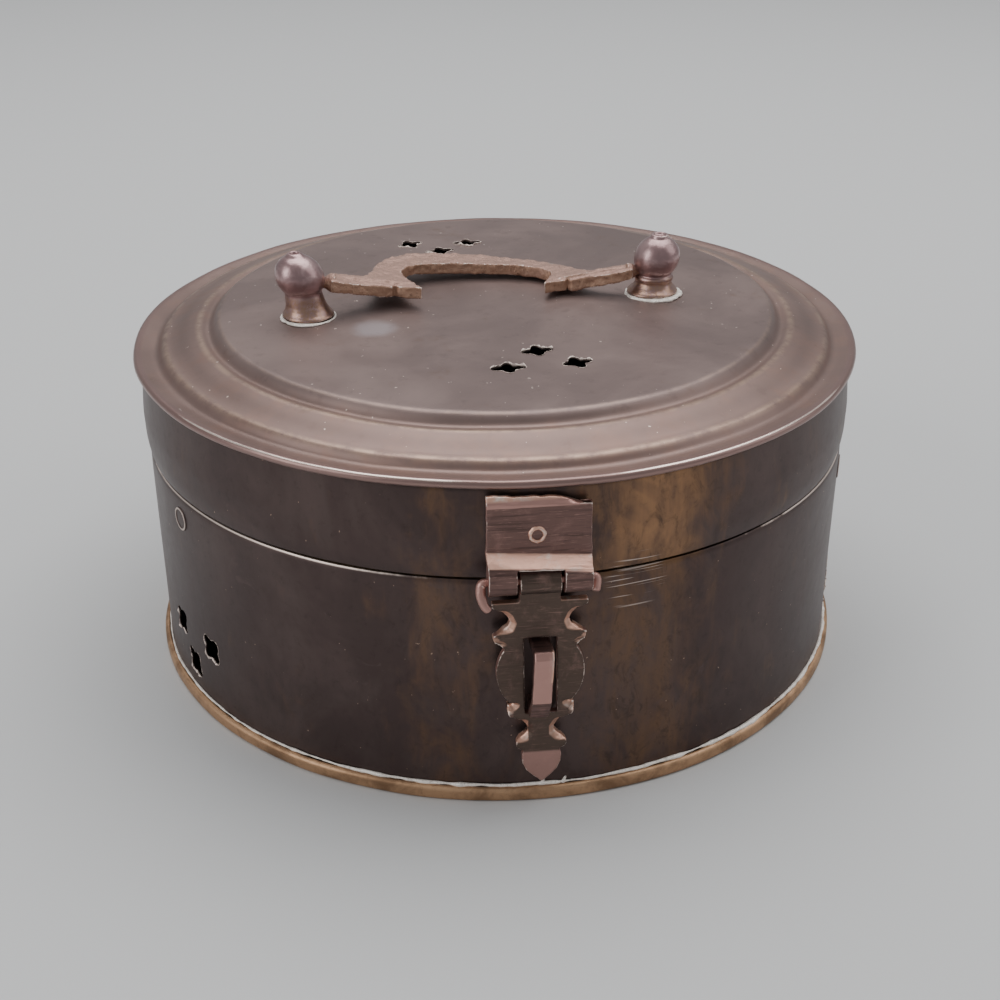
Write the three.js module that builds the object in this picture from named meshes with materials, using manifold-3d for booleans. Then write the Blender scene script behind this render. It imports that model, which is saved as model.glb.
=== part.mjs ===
// A round sheet-brass box with a hinged stepped lid, star vents, a hasp and staple, and a folding bail.
// Millimetres, +Z up. The origin is the centre of the flat underside, and the hasp faces -Y.

import * as THREE from 'three';
import { mergeVertices } from 'three/addons/utils/BufferGeometryUtils.js';
import Module from 'manifold-3d';

const wasm = await Module();
wasm.setup();

// ---- driving dimensions ----

const wallRadius = 61.3;
const sheet = 0.8;
const roundSegments = 64;
const smallSegments = 12;
const seamHeight = 39.7;
const seamGap = 0.3;

const baseThickness = 1.2;
const footHeight = 2.4;
const footRadius = 62.5;

const rimRadius = 62.5;
const rollRadius = 0.65;
const rimHeight = 55.55;
const flangeHeight = 55.75;
const bandBulge = 0.5;
const plateauRadius = 48.5;
const plateauEdge = 60.3;
const plateauRise = 0.9;

const lidVent = { waist: 1.3, arm: 2.75, lobe: 2.15 };
const frontVents = [[9, 25.9], [-2.5, 31.9], [17.4, 32.4]];
const rearVents = [[-164.5, 27.9], [-176.5, 31.6], [-158.1, 34.5]];
const wallVent = { waist: 1.85, reach: 2.7 };

const collarOuter = 60.2;
const collarBottom = 33.2;
const collarTop = 43.6;
const collarRivetHeight = 35.4;

const pinRadius = 0.7;
const pinHole = 0.85;
const strap = 1.2;

const haspX = -0.6;
const haspPinY = -64;
const haspPinZ = 41;
const haspBarrel = 2;
const haspHalfWidth = 7.6;
const tongueHalfWidth = 3;
const leafBack = -62.9;
const stapleX = -0.5;

const hingeY = 64.4;
const hingeBarrel = 1.9;
const hingeHalfWidth = 9;
const hingeKnuckle = 3.2;

const knobBall = 3.95;
const knobLeft = { x: -32.3, y: -4.8, ball: 6.9, pivot: 5.6, lean: -0.16 };
const knobRight = { x: 27.75, y: -0.75, ball: 6.2, pivot: 4.0, lean: 0.1 };

const bailThickness = 2;
const bailCrank = 2.2;
const bailSag = 0.5;
const bailSkew = 0.2;
const bailReach = 18;
const tenonRadius = 0.8;
const tenonHole = 0.95;

// ---- finishes ----

const finish = (color, roughness, metalness) => new THREE.MeshStandardMaterial({ color, roughness, metalness });
const patina = finish(0x8a7a76, 0.45, 0.8);
const darkPatina = finish(0x4d423f, 0.5, 0.8);
const tanBrass = finish(0x93785a, 0.45, 0.9);
const solder = finish(0xe6dfd8, 0.35, 0.9);
const copper = finish(0x8f6a5f, 0.5, 0.9);
const knobBrown = finish(0x5d4848, 0.3, 0.9);
const bailTan = finish(0x8b7163, 0.55, 0.8);

// ---- making solids ----

function solidOf(geometry) {
  const bare = geometry.clone();
  bare.deleteAttribute('normal');
  bare.deleteAttribute('uv');
  const merged = mergeVertices(bare, 1e-4);
  const index = merged.index.array;
  const triangles = [];
  for (let i = 0; i < index.length; i += 3) {
    const [a, b, c] = [index[i], index[i + 1], index[i + 2]];
    if (a !== b && b !== c && c !== a) triangles.push(a, b, c);
  }
  const vertProperties = new Float32Array(merged.attributes.position.array);
  const triVerts = new Uint32Array(triangles);
  return new wasm.Manifold(new wasm.Mesh({ numProp: 3, vertProperties, triVerts }));
}

function geometryOf(solid) {
  const mesh = solid.getMesh();
  const geometry = new THREE.BufferGeometry();
  geometry.setAttribute('position', new THREE.BufferAttribute(new Float32Array(mesh.vertProperties), 3));
  geometry.setIndex(new THREE.BufferAttribute(new Uint32Array(mesh.triVerts), 1));
  geometry.computeVertexNormals();
  return geometry;
}

const cut = (solid, ...tools) => tools.reduce((rest, tool) => rest.subtract(tool), solid);
const join = (solid, ...others) => others.reduce((whole, other) => whole.add(other), solid);

// A closed profile of [radius, height] points, turned about Z.
function turned(profile, segments = roundSegments) {
  const points = profile.map(([r, z]) => new THREE.Vector2(r, z));
  if (THREE.ShapeUtils.area(points) < 0) points.reverse();
  points.push(points[0].clone());
  return new THREE.LatheGeometry(points, segments).rotateX(Math.PI / 2);
}

// The same, with its axis laid along Y or X: heights become distances along that axis.
const turnedAlongY = (profile, segments) => turned(profile, segments).rotateX(-Math.PI / 2);
const turnedAlongX = (profile, segments) => turned(profile, segments).rotateY(Math.PI / 2);

const shapeOf = (points) => new THREE.Shape(points.map(([a, b]) => new THREE.Vector2(a, b)));
const extruded = (shape, depth) => new THREE.ExtrudeGeometry(shape, { depth, bevelEnabled: false, steps: 1 });

// A (y, z) outline carried along X, and an (x, z) shape thickened from y = back towards -Y.
function alongX(outline, halfLength) {
  const basis = new THREE.Matrix4().makeBasis(
    new THREE.Vector3(0, 1, 0), new THREE.Vector3(0, 0, 1), new THREE.Vector3(1, 0, 0));
  return extruded(shapeOf(outline), 2 * halfLength).applyMatrix4(basis).translate(-halfLength, 0, 0);
}

function alongY(shape, back, thickness) {
  const basis = new THREE.Matrix4().makeBasis(
    new THREE.Vector3(1, 0, 0), new THREE.Vector3(0, 0, 1), new THREE.Vector3(0, -1, 0));
  return extruded(shape, thickness).applyMatrix4(basis).translate(0, back, 0);
}

const box = (x, y, z) => new THREE.BoxGeometry(x[1] - x[0], y[1] - y[0], z[1] - z[0])
  .translate((x[0] + x[1]) / 2, (y[0] + y[1]) / 2, (z[0] + z[1]) / 2);

// A round bar along X between two x values.
const barX = (radius, x, y, z, segments = smallSegments) => turnedAlongX(
  [[0, x[0]], [radius, x[0]], [radius, x[1]], [0, x[1]]], segments).translate(0, y, z);

// A round bar along Y, used for drilling the front and rear sheets.
const barY = (radius, y, x, z) => turnedAlongY(
  [[0, y[0]], [radius, y[0]], [radius, y[1]], [0, y[1]]], smallSegments).translate(x, 0, z);

function arc(centreR, centreZ, radius, fromDegrees, toDegrees, steps) {
  const points = [];
  for (let i = 0; i <= steps; i += 1) {
    const angle = THREE.MathUtils.degToRad(fromDegrees + (toDegrees - fromDegrees) * i / steps);
    points.push([centreR + radius * Math.cos(angle), centreZ + radius * Math.sin(angle)]);
  }
  return points;
}

// Bearings are degrees from the hasp side (-Y) towards +X.
function bearing(degrees, radius, z = 0) {
  const angle = THREE.MathUtils.degToRad(degrees);
  return new THREE.Vector3(radius * Math.sin(angle), -radius * Math.cos(angle), z);
}

const group = new THREE.Group();

function piece(name, solid, material, parent = group) {
  const mesh = new THREE.Mesh(geometryOf(solid), material);
  mesh.name = name;
  parent.add(mesh);
  return mesh;
}

// ---- pierced vents ----

// A star outline given as its reach at each angle.
function starShape(reachAt) {
  const points = [];
  const steps = 24;
  for (let i = 0; i < steps; i += 1) {
    const angle = 2 * Math.PI * i / steps;
    const reach = reachAt(angle);
    points.push([reach * Math.cos(angle), reach * Math.sin(angle)]);
  }
  return shapeOf(points);
}

// The lid's stars have two thin arms across and two broad lobes along the radius.
const lidVentReach = (angle) => lidVent.waist
  + (lidVent.arm - lidVent.waist) * Math.abs(Math.cos(angle)) ** 8
  + (lidVent.lobe - lidVent.waist) * Math.abs(Math.sin(angle)) ** 3;

// The wall's stars are crosses with broad arms set aslant.
const wallVentReach = (angle) => wallVent.waist
  + (wallVent.reach - wallVent.waist) * Math.abs(Math.sin(2 * angle)) ** 2.5;

function lidVents(spots) {
  return spots.map(([degrees, radius]) => {
    const at = bearing(degrees, radius, 55);
    const punch = extruded(starShape(lidVentReach), 10).rotateZ(THREE.MathUtils.degToRad(degrees));
    return solidOf(punch.translate(at.x, at.y, at.z));
  });
}

function wallVents(centreBearing) {
  const spots = [[centreBearing - 5.5, 13.4], [centreBearing + 5.5, 13.4], [centreBearing - 1, 7.4]];
  return spots.map(([degrees, z]) => {
    const punch = alongY(starShape(wallVentReach), -58, 6).rotateZ(THREE.MathUtils.degToRad(degrees));
    return solidOf(punch.translate(0, 0, z));
  });
}

// ---- base: foot, floor, wall and collar ----

const innerRadius = wallRadius - sheet;
const collarInner = collarOuter - sheet;

piece('base_plate', solidOf(turned([[0, 0], [61.2, 0], [61.2, baseThickness], [0, baseThickness]])), tanBrass);

const footInner = wallRadius + 0.2;
piece('foot_ring', solidOf(turned([
  [footInner, 0], [footRadius - 0.3, 0], [footRadius, 0.4],
  ...arc(footRadius - 0.6, footHeight - 0.6, 0.6, 0, 90, 3), [footInner, footHeight],
])), tanBrass);

piece('foot_solder', solidOf(turned([
  [wallRadius + 0.1, footHeight + 0.05], [wallRadius + 0.8, footHeight + 0.05],
  [wallRadius + 0.1, footHeight + 0.75],
])), solder);

const stapleHalfWidth = 1.5;
const stapleTop = 30.8;
const stapleBottom = 18.2;
const legHeight = 1.2;
const slotSlack = 0.2;

function wallSlot(z) {
  return solidOf(box(
    [stapleX - stapleHalfWidth - slotSlack, stapleX + stapleHalfWidth + slotSlack],
    [-62.5, -59.5], [z - slotSlack, z + legHeight + slotSlack]));
}

const collarRivetShank = 1.8;
const collarRivets = { left: -63, right: 69 };

function radialHole(degrees, radius, z) {
  return solidOf(barY(radius, [-63, -57], 0, z).rotateZ(THREE.MathUtils.degToRad(degrees)));
}

const collarHoles = Object.values(collarRivets).map(
  (degrees) => radialHole(degrees, collarRivetShank + 0.15, collarRivetHeight));

const hingeRivetX = 5.6;
const baseRivetHeight = 31;
const lidRivetHeight = 48.6;
const rivetShank = 0.9;
const rivetHole = 1.1;

const rearHoles = (z) => [-hingeRivetX, hingeRivetX].map((x) => solidOf(barY(rivetHole, [59, 64], x, z)));

const wallShell = turned([
  [innerRadius, baseThickness], [wallRadius, baseThickness],
  [wallRadius, seamHeight - seamGap / 2], [innerRadius, seamHeight - seamGap / 2]]);
piece('body_wall', cut(
  solidOf(wallShell), ...wallVents(-62.5), ...wallVents(76), wallSlot(stapleTop - legHeight), wallSlot(stapleBottom),
  ...collarHoles, ...rearHoles(baseRivetHeight)), darkPatina);

const collarShell = turned([
  [collarInner, collarBottom], [collarOuter, collarBottom], [collarOuter, collarTop], [collarInner, collarTop]]);
piece('inner_collar', cut(solidOf(collarShell), ...collarHoles), tanBrass);

// A flush rivet through wall and collar, its tail spread inside.
function collarRivet() {
  return turnedAlongY([
    [0, -61.5], [1.2, -61.45], [collarRivetShank, -61.3], [collarRivetShank, -59.1],
    [2.6, -59.1], [2.5, -58.7], [1.8, -58.4], [0, -58.4]], smallSegments);
}

for (const [side, degrees] of Object.entries(collarRivets)) {
  const rivet = collarRivet().translate(0, 0, collarRivetHeight).rotateZ(THREE.MathUtils.degToRad(degrees));
  piece(`collar_rivet_${side}`, solidOf(rivet), tanBrass);
}

// ---- staple: a strap bent into a loop, its two tails turned over inside the wall ----

const stapleOutline = [
  [-59.3, 27.4], [-60.2, 27.4], [-60.3, stapleTop - legHeight], [-65.1, stapleTop - legHeight],
  [-65.8, 22.6], [-65.2, stapleBottom + legHeight], [-60.3, stapleBottom + legHeight], [-60.2, 21.6], [-59.3, 21.6],
  [-59.3, 18.6], [-59.7, stapleBottom], [-66.2, stapleBottom], [-67, 22.4], [-66.5, 30], [-65.8, stapleTop],
  [-59.7, stapleTop], [-59.3, 30.4]];
piece('staple', solidOf(alongX(stapleOutline, stapleHalfWidth).translate(stapleX, 0, 0)), copper);

// ---- lid: spun top, band ----

const plateau = (radius) => plateauEdge + plateauRise * (1 - (radius / plateauRadius) ** 2);

const lidOutside = [
  [0, plateau(0)], [26, plateau(26)], [47.4, plateauEdge], [48.4, 59.9], [49.1, 59.1], [49.8, 58.7],
  [51, 58.65], [54, 58.15], [56.6, 57.25], [57.9, 56.4], [58.5, 55.9], [60.6, flangeHeight]];
const rolledEdge = arc(rimRadius - rollRadius, rimHeight, rollRadius, 90, -150, 6);
const lidInside = [
  [58.4, 55.1], [53, 57.3], [50.4, 57.75], [48.3, 59.0],
  [47.0, 59.5], [26, plateau(26) - sheet], [0, plateau(0) - sheet]];
const undersideOfFlange = [[61.2, flangeHeight - sheet]];

const shankRadius = 1.4;
const knobs = { left: knobLeft, right: knobRight };
const knobFoot = (knob) => plateau(Math.hypot(knob.x, knob.y)) + 0.2;
const shankHoles = Object.values(knobs).map((knob) => solidOf(
  turned([[0, 55], [shankRadius + 0.3, 55], [shankRadius + 0.3, 64], [0, 64]], smallSegments)
    .translate(knob.x, knob.y, 0)));

piece('lid_top', cut(
  solidOf(turned([...lidOutside, ...rolledEdge, ...undersideOfFlange, ...lidInside])),
  ...lidVents(frontVents), ...lidVents(rearVents), ...shankHoles), patina);

const haspRivetX = -0.9;
const haspRivetHeight = 48.4;
const bandTop = flangeHeight - sheet;
const bandBottom = seamHeight + seamGap / 2;
const bandOutside = [
  [wallRadius - 0.1, bandTop], [wallRadius + bandBulge, 46.5], [wallRadius + bandBulge * 0.8, 42],
  [wallRadius - 0.1, bandBottom]];
const bandInside = bandOutside.map(([r, z]) => [r - sheet, z]).reverse();
piece('lid_band', cut(
  solidOf(turned([...bandOutside, ...bandInside])), ...rearHoles(lidRivetHeight),
  solidOf(barY(1.3, [-64, -59], haspRivetX, haspRivetHeight))), darkPatina);

// ---- knobs: turned, riveted through the lid, each drilled across for a tenon of the bail ----

function knobProfile(ball) {
  const neck = ball - 3.9;
  return [
    [0, -2.1], [2, -2.1], [2.4, -1.8], [2.4, -1.25], [shankRadius, -1.25], [shankRadius, 0.1],
    [4.3, 0.1], [4.3, 0.5], [3.8, 1], [3.35, 0.6 * neck + 0.3], [3.2, neck], [3.3, neck + 0.7],
    ...arc(0, ball, knobBall, -38, 70, 7), [1.2, ball + 4.05], [0.8, ball + 4.05],
    [0.5, ball + 3.3], [0, ball + 3.3]];
}

// Above its foot the knob leans by `lean` millimetres per millimetre of height.
function leaning(geometry, lean) {
  const position = geometry.attributes.position;
  for (let i = 0; i < position.count; i += 1) {
    const height = Math.max(0, position.getZ(i));
    position.setX(i, position.getX(i) + lean * height);
  }
  return geometry;
}

const pivotLeft = new THREE.Vector3(knobLeft.x, knobLeft.y, 60.9 + knobLeft.pivot);
const pivotRight = new THREE.Vector3(knobRight.x, knobRight.y, 60.9 + knobRight.pivot);
const bailCentre = pivotLeft.clone().add(pivotRight).multiplyScalar(0.5);
const bailLine = pivotRight.clone().sub(pivotLeft);
const bailTurn = Math.atan2(bailLine.y, bailLine.x);
const bailTilt = -Math.asin(bailLine.z / bailLine.length());

const bail = new THREE.Group();
bail.position.copy(bailCentre);
bail.rotation.set(0, bailTilt, bailTurn, 'ZYX');
bail.updateMatrix();
group.add(bail);

const tenonEnd = 28.6;
const crossHoles = {
  left: solidOf(barX(tenonHole, [-tenonEnd - 0.4, -22], 0, 0).applyMatrix4(bail.matrix)),
  right: solidOf(barX(tenonHole, [22, tenonEnd + 0.4], 0, 0).applyMatrix4(bail.matrix)),
};

for (const [side, knob] of Object.entries(knobs)) {
  const body = leaning(turned(knobProfile(knob.ball), 24), knob.lean).translate(knob.x, knob.y, knobFoot(knob));
  piece(`knob_${side}`, cut(solidOf(body), crossHoles[side]), knobBrown);
  const ring = turned([[4.5, 0], [5.7, 0], [5.3, 0.3], [4.5, 0.65]], 24).translate(knob.x, knob.y, knobFoot(knob));
  piece(`knob_solder_${side}`, solidOf(ring), solder);
}

// ---- bail: a flat cusped bar, cranked down from its tenons and lying back on the lid ----

const bailOuter = [[26.2, 1.8], [23.5, 2.4], [21, 3.1], [19.3, 4.6]];
const bailShoulder = [[18.3, 7], [17.2, 10.2], [15, 13.4], [10.9, 16.1], [5.4, 17.6], [0, bailReach]];
const bailInner = [[0, 12.1], [5.5, 11.7], [9.4, 11], [11.8, 9.6], [13.1, 7.4], [13, 5.6]];
const bailCusp = [[12.2, 3.2], [10.6, -0.8], [12.4, -0.2], [14.4, 0.3], [15.1, 0.9]];
const bailUnder = [[15.8, 0.2], [19, 0], [21.5, -0.8], [24, -1.5], [26.2, -1.8]];

const rightOutside = [...bailOuter, ...bailShoulder];
const rightInside = [...bailInner, ...bailCusp, ...bailUnder];
const mirrored = (points) => points.map(([u, v]) => [-u, v]).reverse();
const evenOutline = [
  ...rightOutside, ...mirrored(rightOutside).slice(1), ...mirrored(rightInside), ...rightInside.slice(1)];

// The bail is hand bent: its grip stands further out at the left than at the right.
const bailOutline = evenOutline.map(([u, v]) => [u, v - bailSkew * u * Math.max(0, v) / bailReach]);

// How far the bar has dropped below the tenons: down along each arm, and a little more towards the right of the grip.
function bailDrop(u, v) {
  const along = THREE.MathUtils.clamp((26 - Math.abs(u)) / 9, 0, 1);
  const towardsRight = 1 + THREE.MathUtils.clamp(u / 12, -1, 1);
  return bailCrank * along + bailSag * towardsRight * Math.max(0, v - 2) / (bailReach - 2);
}

const bar = extruded(shapeOf(bailOutline), bailThickness).translate(0, 0, -bailThickness / 2);
const barPoints = bar.attributes.position;
for (let i = 0; i < barPoints.count; i += 1) {
  barPoints.setZ(i, barPoints.getZ(i) - bailDrop(barPoints.getX(i), barPoints.getY(i)));
}
const tenons = [[-tenonEnd, -25.6], [25.6, tenonEnd]].map((x) => solidOf(barX(tenonRadius, x, 0, 0)));
piece('handle_bail', join(solidOf(bar), ...tenons), bailTan, bail);

// ---- hasp bracket: plate on the lid band, bent out and round the pin in two knuckles ----

const bracketBack = -62;
const bracketOutline = [
  [bracketBack, 53.9], [bracketBack - strap + 0.3, 53.9], [bracketBack - strap, 53.5], [bracketBack - strap, 45.8],
  [haspPinY - 1.3, 44.4], [haspPinY - haspBarrel, 43.7], ...arc(haspPinY, haspPinZ, haspBarrel, 180, 360, 8),
  [bracketBack, 42.4]];
const atHasp = (solid) => solid.translate([haspX, 0, 0]);
const haspNotch = solidOf(box(
  [-tongueHalfWidth - 0.3, tongueHalfWidth + 0.3], [-70, -61.9], [37, haspPinZ + haspBarrel + 0.3]));
const haspPinHole = solidOf(barX(pinHole, [-12, 12], haspPinY, haspPinZ));
piece('hasp_bracket', cut(
  atHasp(cut(solidOf(alongX(bracketOutline, haspHalfWidth)), haspNotch, haspPinHole)),
  solidOf(barY(1.3, [-66, -61], haspRivetX, haspRivetHeight))), copper);

const haspRivet = turnedAlongY([
  [0, -62.9], [0.45, -62.95], [0.7, -63.35], [1.05, -63.3], [1.1, -63.1], [1.1, -60.45],
  [1.9, -60.45], [1.9, -60.1], [1.4, -59.7], [0, -59.7]], smallSegments).translate(haspRivetX, 0, haspRivetHeight);
piece('hasp_rivet', solidOf(haspRivet), copper);

// ---- hasp pin: a wire whose ends are bent down ----

function bentWire(points, steps) {
  const path = new THREE.CatmullRomCurve3(points.map((p) => new THREE.Vector3(...p)));
  const section = new THREE.Shape().absarc(0, 0, pinRadius, 0, 2 * Math.PI);
  return new THREE.ExtrudeGeometry(section, { steps, extrudePath: path, curveSegments: 4, bevelEnabled: false });
}

const pinEnd = haspHalfWidth + 0.6;
const leftHook = bentWire([
  [-pinEnd + 0.4, haspPinY, haspPinZ], [-pinEnd - 0.3, haspPinY - 0.1, haspPinZ - 0.4],
  [-pinEnd - 0.6, haspPinY - 0.4, haspPinZ - 1.8], [-pinEnd - 0.1, haspPinY - 0.5, haspPinZ - 4.4]], 8);
const rightHook = bentWire([
  [pinEnd - 0.4, haspPinY, haspPinZ], [pinEnd + 0.2, haspPinY - 0.1, haspPinZ - 0.3],
  [pinEnd + 0.35, haspPinY - 0.3, haspPinZ - 1.5]], 6);
piece('hasp_pin', atHasp(join(
  solidOf(barX(pinRadius, [-pinEnd, pinEnd], haspPinY, haspPinZ, 10)), solidOf(leftHook), solidOf(rightHook))), copper);

// ---- hasp leaf: cusped plate with a slot for the staple and a spade-shaped tail ----

const leafRight = [
  [7.1, 37.5], [7.1, 36.7], [6, 36.1], [5.4, 35.5], [4.7, 34.7], [4.35, 33.8], [4.8, 33], [5.8, 32.4],
  [6.95, 31.8], [6.85, 30.5], [5.9, 30.1], ...arc(0, 0, 1, 37, -47, 8).map(([a, b]) => [6.65 * a, 25.2 + 7.3 * b]),
  [4.1, 19.5], [5.05, 19.2], [4.85, 17.4], [3.6, 16.9], [2.8, 16.2], [2.3, 15.3], [2, 14.4], [2.7, 13.4],
  [3.85, 12.4], [3.6, 11.5], [2.75, 11.1], [3, 9.8], [2.6, 8.2], [1.5, 6.6], [0.5, 5.6]];
const leafShape = shapeOf([...leafRight, [0, 5], ...leafRight.map(([x, z]) => [-x, z]).reverse()]);
leafShape.holes.push(new THREE.Path([[-2.45, 17.9], [2.45, 17.9], [2.45, 31.3], [-2.45, 31.3]].map(
  ([x, z]) => new THREE.Vector2(x, z))));
const leafPlate = solidOf(alongY(leafShape, leafBack, strap));
const tongue = solidOf(box([-tongueHalfWidth, tongueHalfWidth], [leafBack - strap, leafBack], [36.9, haspPinZ]));
const tongueBarrel = solidOf(barX(haspBarrel, [-tongueHalfWidth, tongueHalfWidth], haspPinY, haspPinZ));
piece('hasp_leaf', atHasp(cut(join(leafPlate, tongue, tongueBarrel), haspPinHole)), copper);

// ---- rear hinge: two leaves, a pin and four rivets ----

const knuckleSpan = (from, to) => solidOf(barX(hingeBarrel, [from, to], hingeY, seamHeight));
const hingePinHole = solidOf(barX(pinHole, [-14, 14], hingeY, seamHeight));

const baseLeafBack = wallRadius + 0.15;
const baseLeafPlate = join(
  solidOf(box([-hingeHalfWidth, hingeHalfWidth], [baseLeafBack, baseLeafBack + strap], [26.5, seamHeight - 2.4])),
  solidOf(box([-hingeKnuckle, hingeKnuckle], [baseLeafBack, baseLeafBack + strap], [36, seamHeight])));
piece('hinge_base_leaf', cut(
  join(baseLeafPlate, knuckleSpan(-hingeKnuckle, hingeKnuckle)), hingePinHole, ...rearHoles(baseRivetHeight)), copper);

const lidLeafBack = wallRadius + bandBulge + 0.2;
const outerKnuckle = hingeKnuckle + 0.3;
const lidLeafPlate = join(
  solidOf(box([-hingeHalfWidth, hingeHalfWidth], [lidLeafBack, lidLeafBack + strap], [seamHeight + 2.4, 53.4])),
  ...[-1, 1].map((side) => {
    const ends = [side * outerKnuckle, side * hingeHalfWidth].sort((a, b) => a - b);
    return join(
      solidOf(box(ends, [lidLeafBack, lidLeafBack + strap], [seamHeight, 43])),
      knuckleSpan(...ends));
  }));
piece('hinge_lid_leaf', cut(lidLeafPlate, hingePinHole, ...rearHoles(lidRivetHeight)), copper);

const hingePin = turnedAlongX([
  [0, -10.2], [0.9, -10.1], [1.2, -9.5], [1.2, -9.2], [pinRadius, -9.2], [pinRadius, 9.2],
  [1.2, 9.2], [1.2, 9.5], [0.9, 10.1], [0, 10.2]], smallSegments).translate(0, hingeY, seamHeight);
piece('hinge_pin', solidOf(hingePin), copper);

// A small rivet with a domed head outside and a spread tail inside.
function leafRivet(headUnder, tailOver) {
  return turnedAlongY([
    [0, headUnder + 0.75], [0.9, headUnder + 0.6], [1.6, headUnder + 0.1], [1.6, headUnder + 0.02],
    [rivetShank, headUnder + 0.02], [rivetShank, tailOver - 0.05], [1.5, tailOver - 0.05],
    [1.4, tailOver - 0.5], [0, tailOver - 0.6]], smallSegments);
}

// The tails stand clear of the curved sheet at the rivets' distance from the middle.
const rivetRows = {
  base: { head: baseLeafBack + strap, tail: innerRadius - 0.7, z: baseRivetHeight },
  lid: { head: lidLeafBack + strap, tail: innerRadius - 0.4, z: lidRivetHeight },
};
for (const [row, { head, tail, z }] of Object.entries(rivetRows)) {
  for (const [side, x] of [['left', -hingeRivetX], ['right', hingeRivetX]]) {
    piece(`hinge_${row}_rivet_${side}`, solidOf(leafRivet(head, tail).translate(x, 0, z)), tanBrass);
  }
}

export default group;
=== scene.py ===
"""A round lidded box of spun sheet brass, with its worn patina, hasp, hinge and folding bail."""

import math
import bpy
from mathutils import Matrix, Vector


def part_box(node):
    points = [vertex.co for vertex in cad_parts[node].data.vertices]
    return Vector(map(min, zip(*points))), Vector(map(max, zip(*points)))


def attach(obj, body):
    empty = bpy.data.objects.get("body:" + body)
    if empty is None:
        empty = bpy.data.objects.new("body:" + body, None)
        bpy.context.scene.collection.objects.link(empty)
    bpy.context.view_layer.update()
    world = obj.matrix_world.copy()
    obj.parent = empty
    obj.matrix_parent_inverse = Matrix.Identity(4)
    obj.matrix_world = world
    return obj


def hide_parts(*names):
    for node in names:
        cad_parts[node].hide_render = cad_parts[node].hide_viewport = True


bl_info = {
    "name": "Round Lidded Brass Box",
    "version": (1, 0, 0),
    "blender": (4, 5, 0),
    "location": "View3D > Sidebar > Lidded Box",
    "description": "Builds the worn visible pieces of a round lidded brass box around its packed frame",
    "category": "Object",
}

import bmesh
import bpy
import numpy as np
from bpy.props import FloatProperty, FloatVectorProperty, IntProperty, PointerProperty
from mathutils import Matrix, Vector, noise
from mathutils.geometry import tessellate_polygon

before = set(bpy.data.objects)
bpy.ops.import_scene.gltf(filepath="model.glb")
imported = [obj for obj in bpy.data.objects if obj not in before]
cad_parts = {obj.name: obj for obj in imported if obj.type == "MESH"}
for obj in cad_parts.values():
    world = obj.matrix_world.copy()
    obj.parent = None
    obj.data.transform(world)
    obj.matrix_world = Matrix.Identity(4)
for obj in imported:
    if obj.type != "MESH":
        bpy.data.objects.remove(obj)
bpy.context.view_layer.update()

MM = 0.001


# ---- places of the CAD pieces, in millimetres ----

def cad_low(node):
    return [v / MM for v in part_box(node)[0]]


def cad_high(node):
    return [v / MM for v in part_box(node)[1]]


WALL_RADIUS = 61.3
SHEET = 0.8
SEAM_LOW = cad_high("body_wall")[2]
SEAM_HIGH = cad_low("lid_band")[2]
FOOT_RADIUS = cad_high("foot_ring")[0]
FOOT_HEIGHT = cad_high("foot_ring")[2]
HASP_X = -0.6
HASP_PIN = (-64.0, 41.0)
HINGE_PIN = (64.4, 39.7)
ON_AXIS = 0.05  # a section point closer to the axis than this lies on it


# ---- meshes ----

def bearing(degrees, radius, z=0.0):
    """A point at a bearing counted from the hasp side towards the right."""
    angle = math.radians(degrees)
    return Vector((radius * math.sin(angle), -radius * math.cos(angle), z))


def new_piece(name, points, faces):
    """A mesh object from points in millimetres."""
    mesh = bpy.data.meshes.new(name)
    mesh.from_pydata([tuple(p * MM) for p in np.asarray(points, dtype=float)], [], faces)
    mesh.update()
    piece = bpy.data.objects.new(name, mesh)
    bpy.context.scene.collection.objects.link(piece)
    return piece


def points_of(piece):
    """The mesh points, in millimetres."""
    count = len(piece.data.vertices)
    flat = np.empty(count * 3)
    piece.data.vertices.foreach_get("co", flat)
    return flat.reshape(count, 3) / MM


def set_points(piece, points):
    piece.data.vertices.foreach_set("co", (points * MM).ravel())
    piece.data.update()


def normals_of(piece):
    count = len(piece.data.vertices)
    flat = np.empty(count * 3)
    piece.data.vertices.foreach_get("normal", flat)
    return flat.reshape(count, 3)


def settle(piece):
    """Make the piece's modifiers part of its mesh."""
    depsgraph = bpy.context.evaluated_depsgraph_get()
    mesh = bpy.data.meshes.new_from_object(piece.evaluated_get(depsgraph))
    piece.modifiers.clear()
    piece.data = mesh
    return piece


def face_outwards(piece):
    """Turn every face to look out of its solid."""
    form = bmesh.new()
    form.from_mesh(piece.data)
    bmesh.ops.recalc_face_normals(form, faces=form.faces)
    form.to_mesh(piece.data)
    form.free()


def drop(piece):
    bpy.data.objects.remove(piece, do_unlink=True)


def unevenness(points, size, seed):
    """Soft noise in -1..1 with lumps about `size` millimetres across."""
    shift = Vector((seed * 17.3, seed * 5.1, seed * 9.7))
    return np.array([noise.noise(Vector(p) / size + shift) for p in points])


def resampled(profile, step):
    """The closed profile with points about `step` millimetres apart."""
    points = []
    for (r0, z0), (r1, z1) in zip(profile, profile[1:] + profile[:1]):
        count = max(1, int(math.hypot(r1 - r0, z1 - z0) / step + 0.5))
        points += [(r0 + (r1 - r0) * i / count, z0 + (z1 - z0) * i / count) for i in range(count)]
    return points


def eased(profile, passes):
    """Round the corners of a closed profile a little."""
    points = np.array(profile, dtype=float)
    axis = points[:, 0] < ON_AXIS
    for _ in range(passes):
        middle = (np.roll(points, 1, axis=0) + np.roll(points, -1, axis=0)) / 2
        moved = (points + middle) / 2
        moved[axis] = points[axis]
        points = moved
    return [tuple(p) for p in points]


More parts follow.
